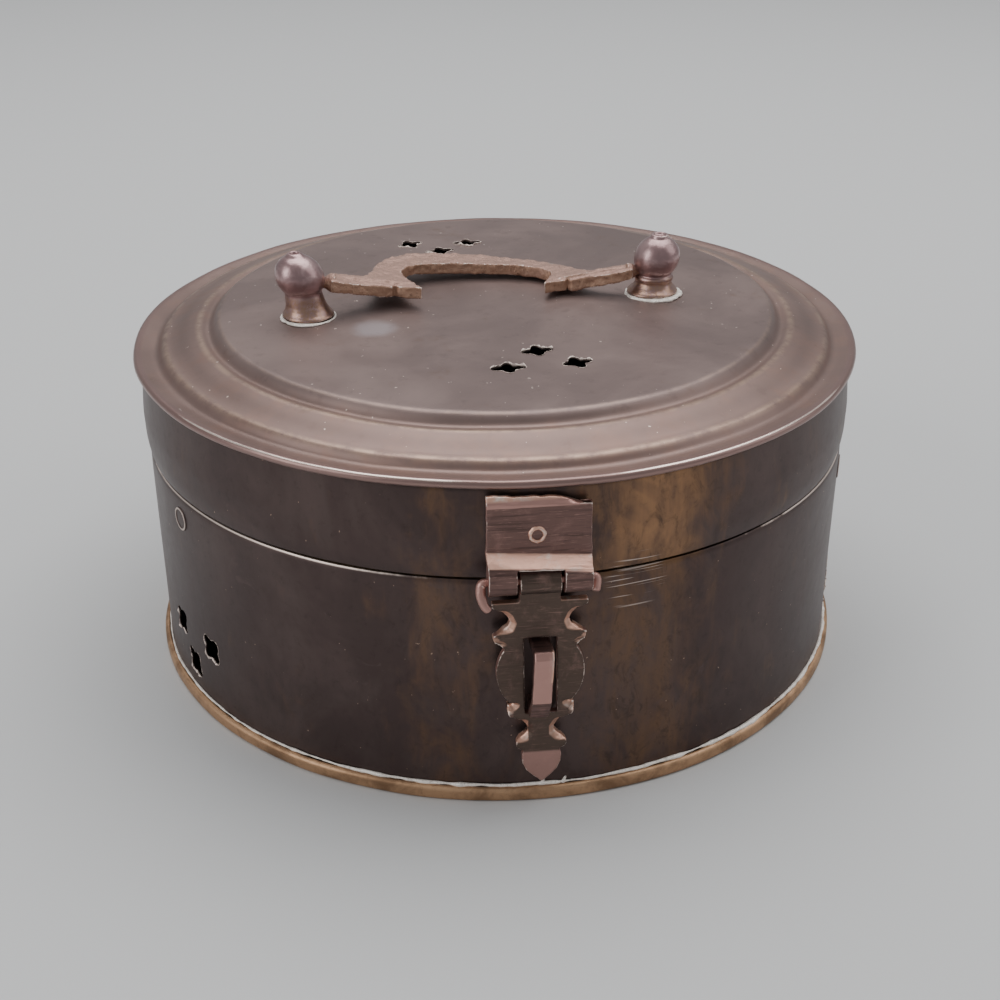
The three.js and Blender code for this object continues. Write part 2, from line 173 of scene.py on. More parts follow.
def turned(name, profile, segments):
    """A closed profile of (radius, height) turned about Z."""
    points, rings = [], []
    for r, z in profile:
        if r < ON_AXIS:
            rings.append([len(points)] * segments)
            points.append((0, 0, z))
            continue
        rings.append(list(range(len(points), len(points) + segments)))
        for i in range(segments):
            angle = 2 * math.pi * i / segments
            points.append((r * math.sin(angle), -r * math.cos(angle), z))
    faces = []
    for low, high in zip(rings, rings[1:] + rings[:1]):
        if low[0] == low[1] and high[0] == high[1]:
            continue
        for i in range(segments):
            j = (i + 1) % segments
            face = []
            for index in (low[i], low[j], high[j], high[i]):
                if index not in face:
                    face.append(index)
            if len(face) > 2:
                faces.append(face)
    piece = new_piece(name, points, faces)
    face_outwards(piece)
    return piece


def slab(name, outline, low, high, holes=(), chamfer=0.0):
    """A flat plate: an (a, b) outline with holes, carried from `low` to `high` along c."""
    loops = [list(outline)] + [list(hole) for hole in holes]
    flat = [point for loop in loops for point in loop]
    triangles = tessellate_polygon([[Vector((a, b, 0)) for a, b in loop] for loop in loops])
    count = len(flat)
    points = [(a, b, low) for a, b in flat] + [(a, b, high) for a, b in flat]
    faces = [tuple(t) for t in triangles] + [tuple(i + count for i in reversed(t)) for t in triangles]
    start = 0
    for loop in loops:
        for i in range(len(loop)):
            a, b = start + i, start + (i + 1) % len(loop)
            faces.append((a, b, b + count, a + count))
        start += len(loop)
    piece = new_piece(name, points, faces)
    face_outwards(piece)
    if chamfer:
        bevel = piece.modifiers.new("chamfer", "BEVEL")
        bevel.width = chamfer * MM
        bevel.segments = 1
        bevel.limit_method = "ANGLE"
        bevel.angle_limit = math.radians(40)
        settle(piece)
    return piece


def laid(piece, matrix):
    """Turn and move the piece's mesh, keeping its object at the origin."""
    piece.data.transform(matrix)
    piece.data.update()
    return piece


# what was drawn flat, or turned about Z, stands facing the front, the side or the rear
FRONT_ON = Matrix(((1, 0, 0, 0), (0, 0, -1, 0), (0, 1, 0, 0), (0, 0, 0, 1)))
BACK_ON = Matrix(((-1, 0, 0, 0), (0, 0, 1, 0), (0, 1, 0, 0), (0, 0, 0, 1)))
SIDE_ON = Matrix(((0, 0, 1, 0), (1, 0, 0, 0), (0, 1, 0, 0), (0, 0, 0, 1)))


def joined(name, pieces):
    """One piece from several whose solids may overlap."""
    form = bmesh.new()
    for piece in pieces:
        form.from_mesh(piece.data)
        drop(piece)
    mesh = bpy.data.meshes.new(name)
    form.to_mesh(mesh)
    form.free()
    whole = bpy.data.objects.new(name, mesh)
    bpy.context.scene.collection.objects.link(whole)
    return whole


def wrought(piece, voxel, ease=1):
    """Fuse the solids into one fine even skin with softened edges, as metal that was filed and handled."""
    remesh = piece.modifiers.new("skin", "REMESH")
    remesh.mode = "VOXEL"
    remesh.voxel_size = voxel * MM
    remesh.adaptivity = 0
    if ease:
        smooth = piece.modifiers.new("ease", "SMOOTH")
        smooth.factor = 0.5
        smooth.iterations = ease
    return settle(piece)


def rod(name, path, radii, sides, flat=1.0):
    """A closed bar swept along a path, its radius changing from point to point."""
    path = [Vector(p) for p in path]
    points, faces = [], []
    side = None
    for i, at in enumerate(path):
        ahead = (path[min(i + 1, len(path) - 1)] - path[max(i - 1, 0)]).normalized()
        if side is None:
            side = ahead.orthogonal().normalized()
        side = (side - ahead * side.dot(ahead)).normalized()
        other = ahead.cross(side)
        for k in range(sides):
            angle = 2 * math.pi * k / sides
            points.append(at + radii[i] * (side * math.cos(angle) + other * math.sin(angle) * flat))
    for i in range(len(path) - 1):
        for k in range(sides):
            a, b = i * sides + k, i * sides + (k + 1) % sides
            faces.append((a, b, b + sides, a + sides))
    faces.append(tuple(reversed(range(sides))))
    faces.append(tuple(range(len(points) - sides, len(points))))
    piece = new_piece(name, points, faces)
    face_outwards(piece)
    return piece


def ring_faces(count, sides, start=0):
    """Faces of a closed ring whose `count` sections have `sides` points each."""
    faces = []
    for i in range(count):
        here, there = start + i * sides, start + (i + 1) % count * sides
        for k in range(sides):
            after = (k + 1) % sides
            faces.append((here + k, here + after, there + after, there + k))
    return faces


def curved(points, steps):
    """A smooth path through the points."""
    points = [Vector(p) for p in points]
    path = []
    padded = [points[0] * 2 - points[1]] + points + [points[-1] * 2 - points[-2]]
    for i in range(1, len(padded) - 2):
        p0, p1, p2, p3 = padded[i - 1:i + 3]
        for k in range(steps):
            t = k / steps
            path.append(0.5 * ((2 * p1) + (p2 - p0) * t + (2 * p0 - 5 * p1 + 4 * p2 - p3) * t ** 2
                               + (3 * p1 - p0 - 3 * p2 + p3) * t ** 3))
    path.append(points[-1])
    return path


def measure_relief(piece, reach, spread=2):
    """Store how far each point stands proud (+) or is sunk (-), counted over `reach` millimetres."""
    points, normals = points_of(piece), normals_of(piece)
    edges = np.empty(len(piece.data.edges) * 2, dtype=int)
    piece.data.edges.foreach_get("vertices", edges)
    a, b = edges.reshape(-1, 2).T
    along = points[b] - points[a]
    length = np.maximum(np.linalg.norm(along, axis=1), 1e-4)
    total, weight = np.zeros(len(points)), np.zeros(len(points))
    for here, sign in ((a, 1.0), (b, -1.0)):
        bend = -sign * np.einsum("ij,ij->i", normals[here], along) / length ** 2
        np.add.at(total, here, bend * reach)
        np.add.at(weight, here, 1)
    relief = total / np.maximum(weight, 1)
    for _ in range(spread):
        near, weight = relief.copy(), np.ones(len(points))
        np.add.at(near, a, relief[b])
        np.add.at(near, b, relief[a])
        np.add.at(weight, a, 1)
        np.add.at(weight, b, 1)
        relief = near / weight
    store(piece, "relief", np.clip(relief, -1, 1))


def store(piece, name, values):
    mark = piece.data.attributes.get(name) or piece.data.attributes.new(name, "FLOAT", "POINT")
    mark.data.foreach_set("value", np.asarray(values, dtype=np.float32))


def rounded_shading(piece, angle=32):
    """Smooth shading, with creases kept where faces meet at more than the angle."""
    for face in piece.data.polygons:
        face.use_smooth = True
    piece.data.set_sharp_from_angle(angle=math.radians(angle))


def finished(piece, body, material, slot, *replaces):
    """Give a piece its finish, the body it rides on and the CAD pieces that it stands for; the slot is not
    used.
    """
    piece.data.materials.clear()
    piece.data.materials.append(material)
    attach(piece, body)
    if replaces:
        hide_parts(*replaces)
    return piece


def clad(node, material):
    """Give a CAD piece that stays in sight its finish."""
    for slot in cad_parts[node].material_slots:
        slot.material = material


# ---- finishes ----
# inside a finish, places and distances along the box are in metres, as in the piece's own mesh

PLATEAU_EDGE = 0.0477
INNER_FOOT = 0.0492
INNER_RIDGE = 0.0512
COVE = 0.0542
OUTER_RIDGE = 0.0571
OUTER_FOOT = 0.0586
LID_SCUFF = (-0.0215, -0.0125, 0.061)
WALL_SCORES = (0.0145, -0.0597, 0.0375)


class Finish:
    """A metal finish made from noise that is laid out in the piece's own axes."""

    def __init__(self, name, metallic):
        self.material = bpy.data.materials.new(name)
        self.material.use_nodes = True
        self.tree = self.material.node_tree
        self.shader = self.tree.nodes["Principled BSDF"]
        self.shader.inputs["Metallic"].default_value = metallic
        self.place = self.add("ShaderNodeTexCoord").outputs["Object"]

    def add(self, kind, **settings):
        node = self.tree.nodes.new(kind)
        for key, value in settings.items():
            setattr(node, key, value)
        return node

    def put(self, socket, value):
        if isinstance(value, bpy.types.NodeSocket):
            self.tree.links.new(value, socket)
        elif socket.type == "RGBA":
            socket.default_value = (*value, 1.0)
        else:
            socket.default_value = value

    def math(self, operation, a, b=0.0):
        node = self.add("ShaderNodeMath", operation=operation)
        self.put(node.inputs[0], a)
        self.put(node.inputs[1], b)
        return node.outputs[0]

    def span(self, value, low, high, out_low=0.0, out_high=1.0):
        """Stretch low..high to out_low..out_high, softly and clamped."""
        node = self.add("ShaderNodeMapRange", interpolation_type="SMOOTHSTEP")
        for socket, entry in zip(node.inputs, (value, low, high, out_low, out_high)):
            self.put(socket, entry)
        return node.outputs[0]

    def parts(self):
        node = self.add("ShaderNodeSeparateXYZ")
        self.put(node.inputs[0], self.place)
        return node.outputs

    def around(self):
        """Distance from the box's middle line, bearing and height, as a place."""
        x, y, z = self.parts()
        radius = self.math("SQRT", self.math("ADD", self.math("MULTIPLY", x, x), self.math("MULTIPLY", y, y)))
        turn = self.math("ARCTAN2", x, self.math("MULTIPLY", y, -1.0))
        node = self.add("ShaderNodeCombineXYZ")
        self.put(node.inputs[0], radius)
        self.put(node.inputs[1], self.math("MULTIPLY", turn, 0.06))
        self.put(node.inputs[2], z)
        return node.outputs[0]

    def noise(self, size, detail=3.0, rough=0.55, stretch=(1, 1, 1), place=None, shift=0.0, warp=0.0):
        """Noise whose lumps are about `size` millimetres, longer along the axes with a larger stretch."""
        mapping = self.add("ShaderNodeMapping")
        self.put(mapping.inputs["Vector"], place or self.place)
        mapping.inputs["Location"].default_value = (shift, shift * 0.7, shift * 1.3)
        mapping.inputs["Scale"].default_value = tuple(1.0 / (size * MM * s) for s in stretch)
        node = self.add("ShaderNodeTexNoise")
        self.put(node.inputs["Vector"], mapping.outputs[0])
        node.inputs["Scale"].default_value = 1.0
        node.inputs["Detail"].default_value = detail
        node.inputs["Roughness"].default_value = rough
        node.inputs["Distortion"].default_value = warp
        return node.outputs["Fac"]

    def mix(self, a, b, amount):
        node = self.add("ShaderNodeMix", data_type="RGBA", clamp_factor=True)
        self.put(node.inputs[0], amount)
        self.put(node.inputs[6], a)
        self.put(node.inputs[7], b)
        return node.outputs[2]

    def mark(self, name):
        return self.add("ShaderNodeAttribute", attribute_name=name).outputs["Fac"]

    def times(self, *values):
        total = values[0]
        for value in values[1:]:
            total = self.math("MULTIPLY", total, value)
        return total

    def plus(self, *values):
        total = values[0]
        for value in values[1:]:
            total = self.math("ADD", total, value)
        return total

    def near(self, value, middle, half):
        """One at `middle`, fading to none `half` away."""
        gap = self.math("ABSOLUTE", self.math("SUBTRACT", value, middle))
        return self.span(gap, half, 0.0)

    def near_spot(self, spot, reach):
        """One at a spot, fading to none `reach` metres away."""
        node = self.add("ShaderNodeVectorMath", operation="DISTANCE")
        self.put(node.inputs[0], self.place)
        node.inputs[1].default_value = spot
        return self.span(node.outputs["Value"], reach, 0.0)

    def bump(self, height, distance, strength, under=None):
        node = self.add("ShaderNodeBump")
        node.inputs["Strength"].default_value = strength
        node.inputs["Distance"].default_value = distance * MM
        self.put(node.inputs["Height"], height)
        if under is not None:
            self.put(node.inputs["Normal"], under)
        return node.outputs[0]

    def done(self, color, roughness, normal):
        self.put(self.shader.inputs["Base Color"], color)
        self.put(self.shader.inputs["Roughness"], roughness)
        self.put(self.shader.inputs["Normal"], normal)
        return self.material


def lid_finish(colours):
    """Brown satin patina with faint spun rings, worn along the steps, with painted shade in the coves and
    step feet and a painted highlight along the rolled edge.
    """
    f = Finish("lid_patina", 0.75)
    spun = f.around()
    ring_radius = f.add("ShaderNodeSeparateXYZ")
    f.put(ring_radius.inputs[0], spun)
    out = ring_radius.outputs[0]
    clouds = f.noise(22.0, 4.0, 0.6, warp=0.4)
    mottle = f.noise(3.0, 5.0, 0.65)
    rings = f.noise(0.35, 2.0, 0.5, (1.0, 220.0, 1.0), spun)
    color = f.mix(colours.lid_patina, colours.lid_patina_light, f.span(clouds, 0.36, 0.68))
    color = f.mix(color, colours.lid_dark_patina_and_shade, f.times(f.span(mottle, 0.54, 0.76), 0.4))
    border = f.span(out, 0.0478, 0.0496)
    stain = f.span(f.noise(8.0, 5.0, 0.7, shift=2.0), 0.45, 0.68)
    color = f.mix(color, colours.lid_border, f.times(border, f.plus(0.5, f.times(stain, 0.5))))
    # painted shade: a darker band on the outer slope of the ring and dark lines in the feet of both steps
    color = f.mix(color, colours.lid_dark_patina_and_shade, f.times(f.near(out, COVE, 0.0022), 0.25))
    color = f.mix(color, colours.lid_dark_patina_and_shade, f.times(f.near(out, INNER_FOOT, 0.0009), 0.2))
    color = f.mix(color, colours.lid_dark_patina_and_shade, f.times(f.near(out, OUTER_FOOT, 0.0006), 0.15))
    warmth = f.span(f.noise(9.0, 5.0, 0.7, shift=9.0), 0.58, 0.75)
    color = f.mix(color, colours.warm_brown, f.times(warmth, 0.5))
    ragged = f.noise(3.2, 5.0, 0.7, shift=5.0)
    worn_ring = f.plus(f.near(out, INNER_RIDGE, 0.0009), f.times(f.near(out, OUTER_RIDGE, 0.0009), 0.9),
                       f.times(f.near(out, PLATEAU_EDGE, 0.0006), 0.35))
    wear = f.times(worn_ring, f.span(ragged, 0.34, 0.62))
    color = f.mix(color, colours.worn_brass, f.times(wear, 0.62))
    specks = f.span(f.noise(0.9, 2.0, 0.5, shift=7.0), 0.745, 0.77)
    color = f.mix(color, colours.bright_metal, f.times(specks, 0.8))
    rim = f.mark("rim")
    color = f.mix(color, colours.rim_brown, f.times(rim, 0.85))
    streaks = f.times(f.noise(2.5, 3.0, 0.7, shift=11.0), 0.35)
    # painted highlight: a bright line along the rolled rim, broken up by streaks
    rim_highlight = f.span(f.plus(f.mark("rim_highlight"), streaks), 0.55, 0.85)
    color = f.mix(color, colours.bright_metal, rim_highlight)
    scuffed = f.plus(f.near_spot(LID_SCUFF, 0.007), f.times(f.noise(3.5, 4.0, 0.7), 0.5))
    scuff = f.span(scuffed, 0.5, 1.1)
    color = f.mix(color, colours.scuff, f.times(scuff, 0.55))
    rough = f.plus(f.span(clouds, 0.3, 0.7, 0.36, 0.44), f.times(mottle, 0.1), f.times(wear, -0.1),
                   f.times(rim, -0.12), f.times(rim_highlight, -0.08))
    height = f.plus(f.times(rings, 0.25), f.times(mottle, 0.5))
    normal = f.bump(f.noise(9.0, 3.0, 0.5, shift=4.0), 0.2, 0.5)
    return f.done(color, rough, f.bump(height, 0.04, 0.6, normal))


def wall_finish(colours):
    """Dark brown satin patina, with painted reflections in soft upright brass-coloured bands beside the hasp
    and a painted highlight along the seam.
    """
    f = Finish("wall_patina", 0.8)
    x, y, z = f.parts()
    clouds = f.noise(16.0, 4.0, 0.6, (1.0, 1.0, 1.5), warp=0.5)
    strokes = f.noise(1.6, 4.0, 0.6, (1.0, 1.0, 12.0), shift=2.0)
    patches = f.noise(7.0, 4.0, 0.65, (1.0, 1.0, 1.8), warp=0.6, shift=12.0)
    fine = f.noise(0.3, 2.0, 0.5, (1.0, 1.0, 40.0), shift=4.0)
    color = f.mix(colours.wall_patina, colours.wall_patina_light, f.span(clouds, 0.36, 0.72))
    # painted reflection: broad upright bright bands on the front of the wall either side of the hasp, laid in
    # as brass colour that fades away from the front
    front = f.span(y, -0.035, -0.052)
    band = f.span(z, 0.0385, 0.0395)
    left = f.times(f.near(x, -0.0135, 0.0145), f.plus(0.8, f.times(band, -0.35)))
    # the rubbed mask below is where the painted reflection falls
    rubbed = f.times(front, f.plus(f.near(x, 0.0165, 0.021), left))
    sheen_mask = f.plus(f.times(rubbed, f.plus(0.34, f.times(band, 0.1))), patches, f.times(strokes, 0.35))
    show = f.span(sheen_mask, 0.74, 1.26)
    upper = f.times(f.span(z, 0.036, 0.046), f.near(x, 0.0165, 0.0145))
    brass = f.mix(colours.sheen_brass, colours.gold_brown, upper)
    color = f.mix(color, brass, f.times(show, f.plus(0.68, f.times(band, 0.27))))
    mottle = f.noise(1.6, 5.0, 0.7, shift=6.0)
    color = f.mix(color, colours.wall_patina_dark, f.times(f.span(mottle, 0.54, 0.78), 0.4))
    stains = f.span(f.noise(2.4, 5.0, 0.72, (1.0, 1.0, 1.7), warp=0.9, shift=16.0), 0.5, 0.7)
    color = f.mix(color, colours.wall_patina_dark, f.times(stains, f.plus(0.15, f.times(rubbed, 0.35))))
    blotch = f.span(f.noise(4.5, 5.0, 0.7, warp=0.8, shift=14.0), 0.62, 0.74)
    color = f.mix(color, colours.wall_patina_light, f.times(blotch, 0.6))
    # painted highlight: the seam at the top of the wall is made bright only at the two bearings where the
    # lamps catch it
    seam_half = 0.00022
    seam = f.near(z, SEAM_LOW * MM - 0.0001, seam_half)
    turn = f.math("ARCTAN2", x, f.math("MULTIPLY", y, -1.0))
    lit = f.math("MINIMUM", f.plus(f.near(turn, -0.85, 0.85), f.near(turn, 1.1, 0.75)), 1.0)
    edge = f.times(seam, f.span(f.plus(lit, f.times(f.noise(2.0, 3.0, 0.6, shift=5.0), 0.7)), 0.6, 0.95))
    color = f.mix(color, colours.bright_metal, edge)
    specks = f.span(f.noise(0.8, 2.0, 0.5, shift=8.0), 0.75, 0.775)
    color = f.mix(color, colours.worn_brass, f.times(specks, 0.7))
    scored = f.times(f.near_spot(WALL_SCORES, 0.0075), f.span(y, -0.04, -0.05))
    threads = f.span(f.noise(0.3, 1.0, 0.3, (34.0, 34.0, 1.0), shift=2.3), 0.6, 0.68)
    lines = f.times(threads, f.span(scored, 0.15, 0.5))
    color = f.mix(color, colours.bright_metal, f.times(lines, 0.55))
    color = f.mix(color, colours.bright_metal, f.mark("ring"))
    rough = f.plus(f.span(clouds, 0.3, 0.7, 0.33, 0.41), f.times(mottle, 0.1), f.times(show, -0.03))
    height = f.plus(f.times(fine, 0.25), f.times(mottle, 0.4), f.times(lines, -0.5))
    normal = f.bump(f.noise(12.0, 3.0, 0.5, shift=4.0), 0.2, 0.5)
    return f.done(color, rough, f.bump(height, 0.035, 0.55, normal))


def plain_brass_finish(colours, name, base, dark, metallic=0.9, rough=0.38):
    """Tarnished yellow-brown brass, cleaner where it stands proud."""
    f = Finish(name, metallic)
    clouds = f.noise(7.0, 5.0, 0.65, warp=0.4)
    fine = f.noise(0.7, 5.0, 0.7, shift=3.0)
    color = f.mix(base, dark, f.span(clouds, 0.4, 0.66))
    color = f.mix(color, dark, f.times(f.span(fine, 0.52, 0.74), 0.6))
    wear = f.span(f.plus(f.mark("relief"), f.times(f.noise(1.2, 4.0, 0.7, shift=5.0), 0.5)), 0.5, 0.85)
    color = f.mix(color, colours.worn_brass, f.times(wear, 0.5))
    roughness = f.plus(rough, f.times(clouds, 0.12), f.times(fine, 0.08))
    return f.done(color, roughness, f.bump(fine, 0.05, 0.6, f.bump(clouds, 0.2, 0.5)))


def filed_copper_finish(colours, name, face, cut, light=1.0, grain=(22.0, 1.0, 1.0), filing=1.0):
    """Copper-coloured brass with file marks, bright where edges and cut sides were worn, and with painted
    highlights and painted shade where the marks carry them.
    """
    f = Finish(name, 0.85)
    clouds = f.noise(3.4, 4.0, 0.65, warp=0.4)
    marks = f.noise(0.16, 3.0, 0.6, grain, shift=2.0)
    broad = f.noise(0.5, 2.0, 0.5, grain, shift=8.0)
    color = f.mix(face, cut, f.times(f.span(clouds, 0.5, 0.75), 0.25))
    color = f.mix(color, colours.hasp_dark, f.times(f.span(broad, 0.48, 0.7), 0.6 * filing))
    color = f.mix(color, cut, f.times(f.span(marks, 0.58, 0.72), 0.5 * filing))
    # the marks read here carry real cut edges and wear, and also painted highlights and painted shade on some
    # faces
    color = f.mix(color, cut, f.times(f.span(f.mark("cut"), 0.35, 0.75), 0.9))
    bare_and_glint = f.mix(colours.bare_and_glint_copper, colours.bright_metal, f.span(clouds, 0.5, 0.7))
    color = f.mix(color, bare_and_glint, f.mark("bare_and_glint"))
    ragged = f.noise(0.8, 4.0, 0.75, shift=5.0)
    wear = f.span(f.plus(f.mark("relief"), f.times(ragged, 0.75)), 0.64, 0.84)
    color = f.mix(color, colours.bright_metal, f.times(wear, light))
    grime = f.span(f.plus(f.times(f.mark("relief"), -1.0), f.times(ragged, 0.3)), 0.25, 0.6)
    color = f.mix(color, colours.grime, f.times(grime, 0.8, f.math("SUBTRACT", 1.0, f.mark("bare_and_glint"))))
    rough = f.plus(0.36, f.times(clouds, 0.14), f.times(wear, -0.08))
    height = f.plus(f.times(marks, 0.6), f.times(broad, 0.4), f.times(ragged, 0.3))
    return f.done(color, rough, f.bump(height, 0.05, 0.7, f.bump(clouds, 0.25, 0.4)))


def knob_finish(colours):
    """Glossy purple-brown patina, rubbed to copper at the neck."""
    f = Finish("knob_brown", 0.85)
    clouds = f.noise(2.6, 4.0, 0.6, warp=0.4)
    fine = f.noise(0.5, 4.0, 0.7, shift=3.0)
    color = f.mix(colours.knob_patina, colours.knob_light, f.span(clouds, 0.42, 0.68))
    color = f.mix(color, colours.knob_copper, f.times(f.mark("neck"), f.span(fine, 0.3, 0.6)))
    wear = f.span(f.plus(f.mark("relief"), f.times(f.noise(0.9, 4.0, 0.7, shift=5.0), 0.7)), 0.72, 0.92)
    color = f.mix(color, colours.bright_metal, f.times(wear, 0.8))
    color = f.mix(color, colours.grime, f.times(f.span(f.mark("relief"), -0.25, -0.6), 0.7))
    rough = f.plus(0.2, f.times(clouds, 0.12), f.times(fine, 0.1))
    return f.done(color, rough, f.bump(fine, 0.04, 0.5, f.bump(clouds, 0.2, 0.4)))


def bail_finish(colours):
    """Rough tan-brown cast metal, mauve on top, with bright nicks on its edges."""
    f = Finish("bail_tan", 0.75)
    clouds = f.noise(4.5, 5.0, 0.65, warp=0.5)
    pits = f.noise(0.6, 5.0, 0.75, shift=3.0)
    color = f.mix(colours.bail_top, colours.bail_side, f.times(f.span(f.mark("cut"), 0.3, 0.75), 0.9))
    color = f.mix(color, colours.bail_top, f.times(f.span(clouds, 0.5, 0.7), 0.5))
    color = f.mix(color, colours.grime, f.times(f.span(pits, 0.54, 0.72), 0.6))
    nicks = f.span(f.plus(f.mark("relief"), f.times(f.noise(1.1, 3.0, 0.8, shift=6.0), 1.1)), 0.9, 1.07)
    color = f.mix(color, colours.bright_metal, f.times(nicks, 0.85))
    rough = f.plus(0.42, f.times(clouds, 0.12), f.times(pits, 0.1), f.times(nicks, -0.14))
    return f.done(color, rough, f.bump(pits, 0.18, 0.9, f.bump(clouds, 0.4, 0.6)))


def solder_finish(colours):
    """Soft tin solder: whitish, lumpy, with brown grime in its hollows."""
    f = Finish("tin_solder", 0.3)
    clouds = f.noise(1.6, 4.0, 0.7, warp=0.6)
    fine = f.noise(0.3, 4.0, 0.7, shift=3.0)
    color = f.mix(colours.solder, colours.solder_dull, f.times(f.span(clouds, 0.5, 0.68), 0.6))
    color = f.mix(color, colours.grime, f.times(f.span(fine, 0.56, 0.72), 0.6))
    rough = f.plus(0.3, f.times(clouds, 0.25))
    return f.done(color, rough, f.bump(fine, 0.1, 0.8, f.bump(clouds, 0.3, 0.8)))


def burr_finish(colours):
    """Fresh ragged metal round the vents, dulled here and there."""
    f = Finish("vent_burr", 0.35)
    patches = f.noise(0.8, 4.0, 0.7, warp=0.5)
    color = f.mix(colours.bright_metal, colours.lid_patina, f.span(patches, 0.5, 0.62))
    return f.done(color, f.plus(0.3, f.times(patches, 0.25)), f.bump(patches, 0.08, 0.7))


FINISHES = {}


def finish(name):
    """The named finish, made once."""
    if name not in FINISHES:
        colours = bpy.context.scene.box_colours
        makers = {
            "lid": lambda: lid_finish(colours),
            "wall": lambda: wall_finish(colours),
            "foot": lambda: plain_brass_finish(colours, "foot_brass", colours.foot_brass, colours.foot_dark),
            "inside": lambda: plain_brass_finish(
                colours, "inside_brass", colours.inside_brass, colours.inside_dark, rough=0.44),
            "hasp": lambda: filed_copper_finish(
                colours, "hasp_copper", colours.hasp_copper, colours.hasp_cut_and_lit),
            "leaf": lambda: filed_copper_finish(
                colours, "leaf_copper", colours.leaf_patina, colours.hasp_cut_and_lit, filing=0.5),
            "hinge": lambda: filed_copper_finish(
                colours, "hinge_copper", colours.leaf_patina, colours.hasp_copper, 0.7),
            "knob": lambda: knob_finish(colours),
            "bail": lambda: bail_finish(colours),
            "solder": lambda: solder_finish(colours),
            "burr": lambda: burr_finish(colours),
        }
        FINISHES[name] = makers[name]()
    return FINISHES[name]


# ---- settings ----

def length(name, default, description):
    return FloatProperty(name=name, description=description, default=default, unit="LENGTH",
                         subtype="DISTANCE", precision=5)


def colour(name, default, description):
    return FloatVectorProperty(name=name, description=description, default=default, size=3, min=0, max=1,
                               subtype="COLOR")


def watts(name, default, description):
    return FloatProperty(name=name, description=description, default=default, min=0, unit="POWER")


class BoxSizes(bpy.types.PropertyGroup):
    """Sizes that a user would change."""
    round_segments: IntProperty(name="Round segments", description="Facets around the box", default=288,
                                min=96)
    sheet_dents: length("Sheet dents", 0.00010, "How far the hand-spun sheets wander from true")
    lid_vent_arm: length("Lid vent arm", 0.00275, "From a lid vent's middle to the tip of a thin arm")
    lid_vent_lobe: length("Lid vent lobe", 0.0022, "From a lid vent's middle to the end of a broad lobe")
    lid_vent_waist: length("Lid vent waist", 0.00118, "From a lid vent's middle to the bay between its arms")
    wall_vent_reach: length("Wall vent reach", 0.0028, "From a wall vent's middle to the end of an arm")
    wall_vent_waist: length("Wall vent waist", 0.00185, "From a wall vent's middle to the bay between arms")
    sheet_edge: length("Sheet at the vents", 0.0003, "Thickness that shows where the sheets are pierced")
    bead_thickness: length("Solder bead", 0.00037, "Mean half thickness of the solder bead at the foot")
    metal_skin: length("Fittings' mesh", 0.00014, "Facet size of the hasp, bail and hinge")


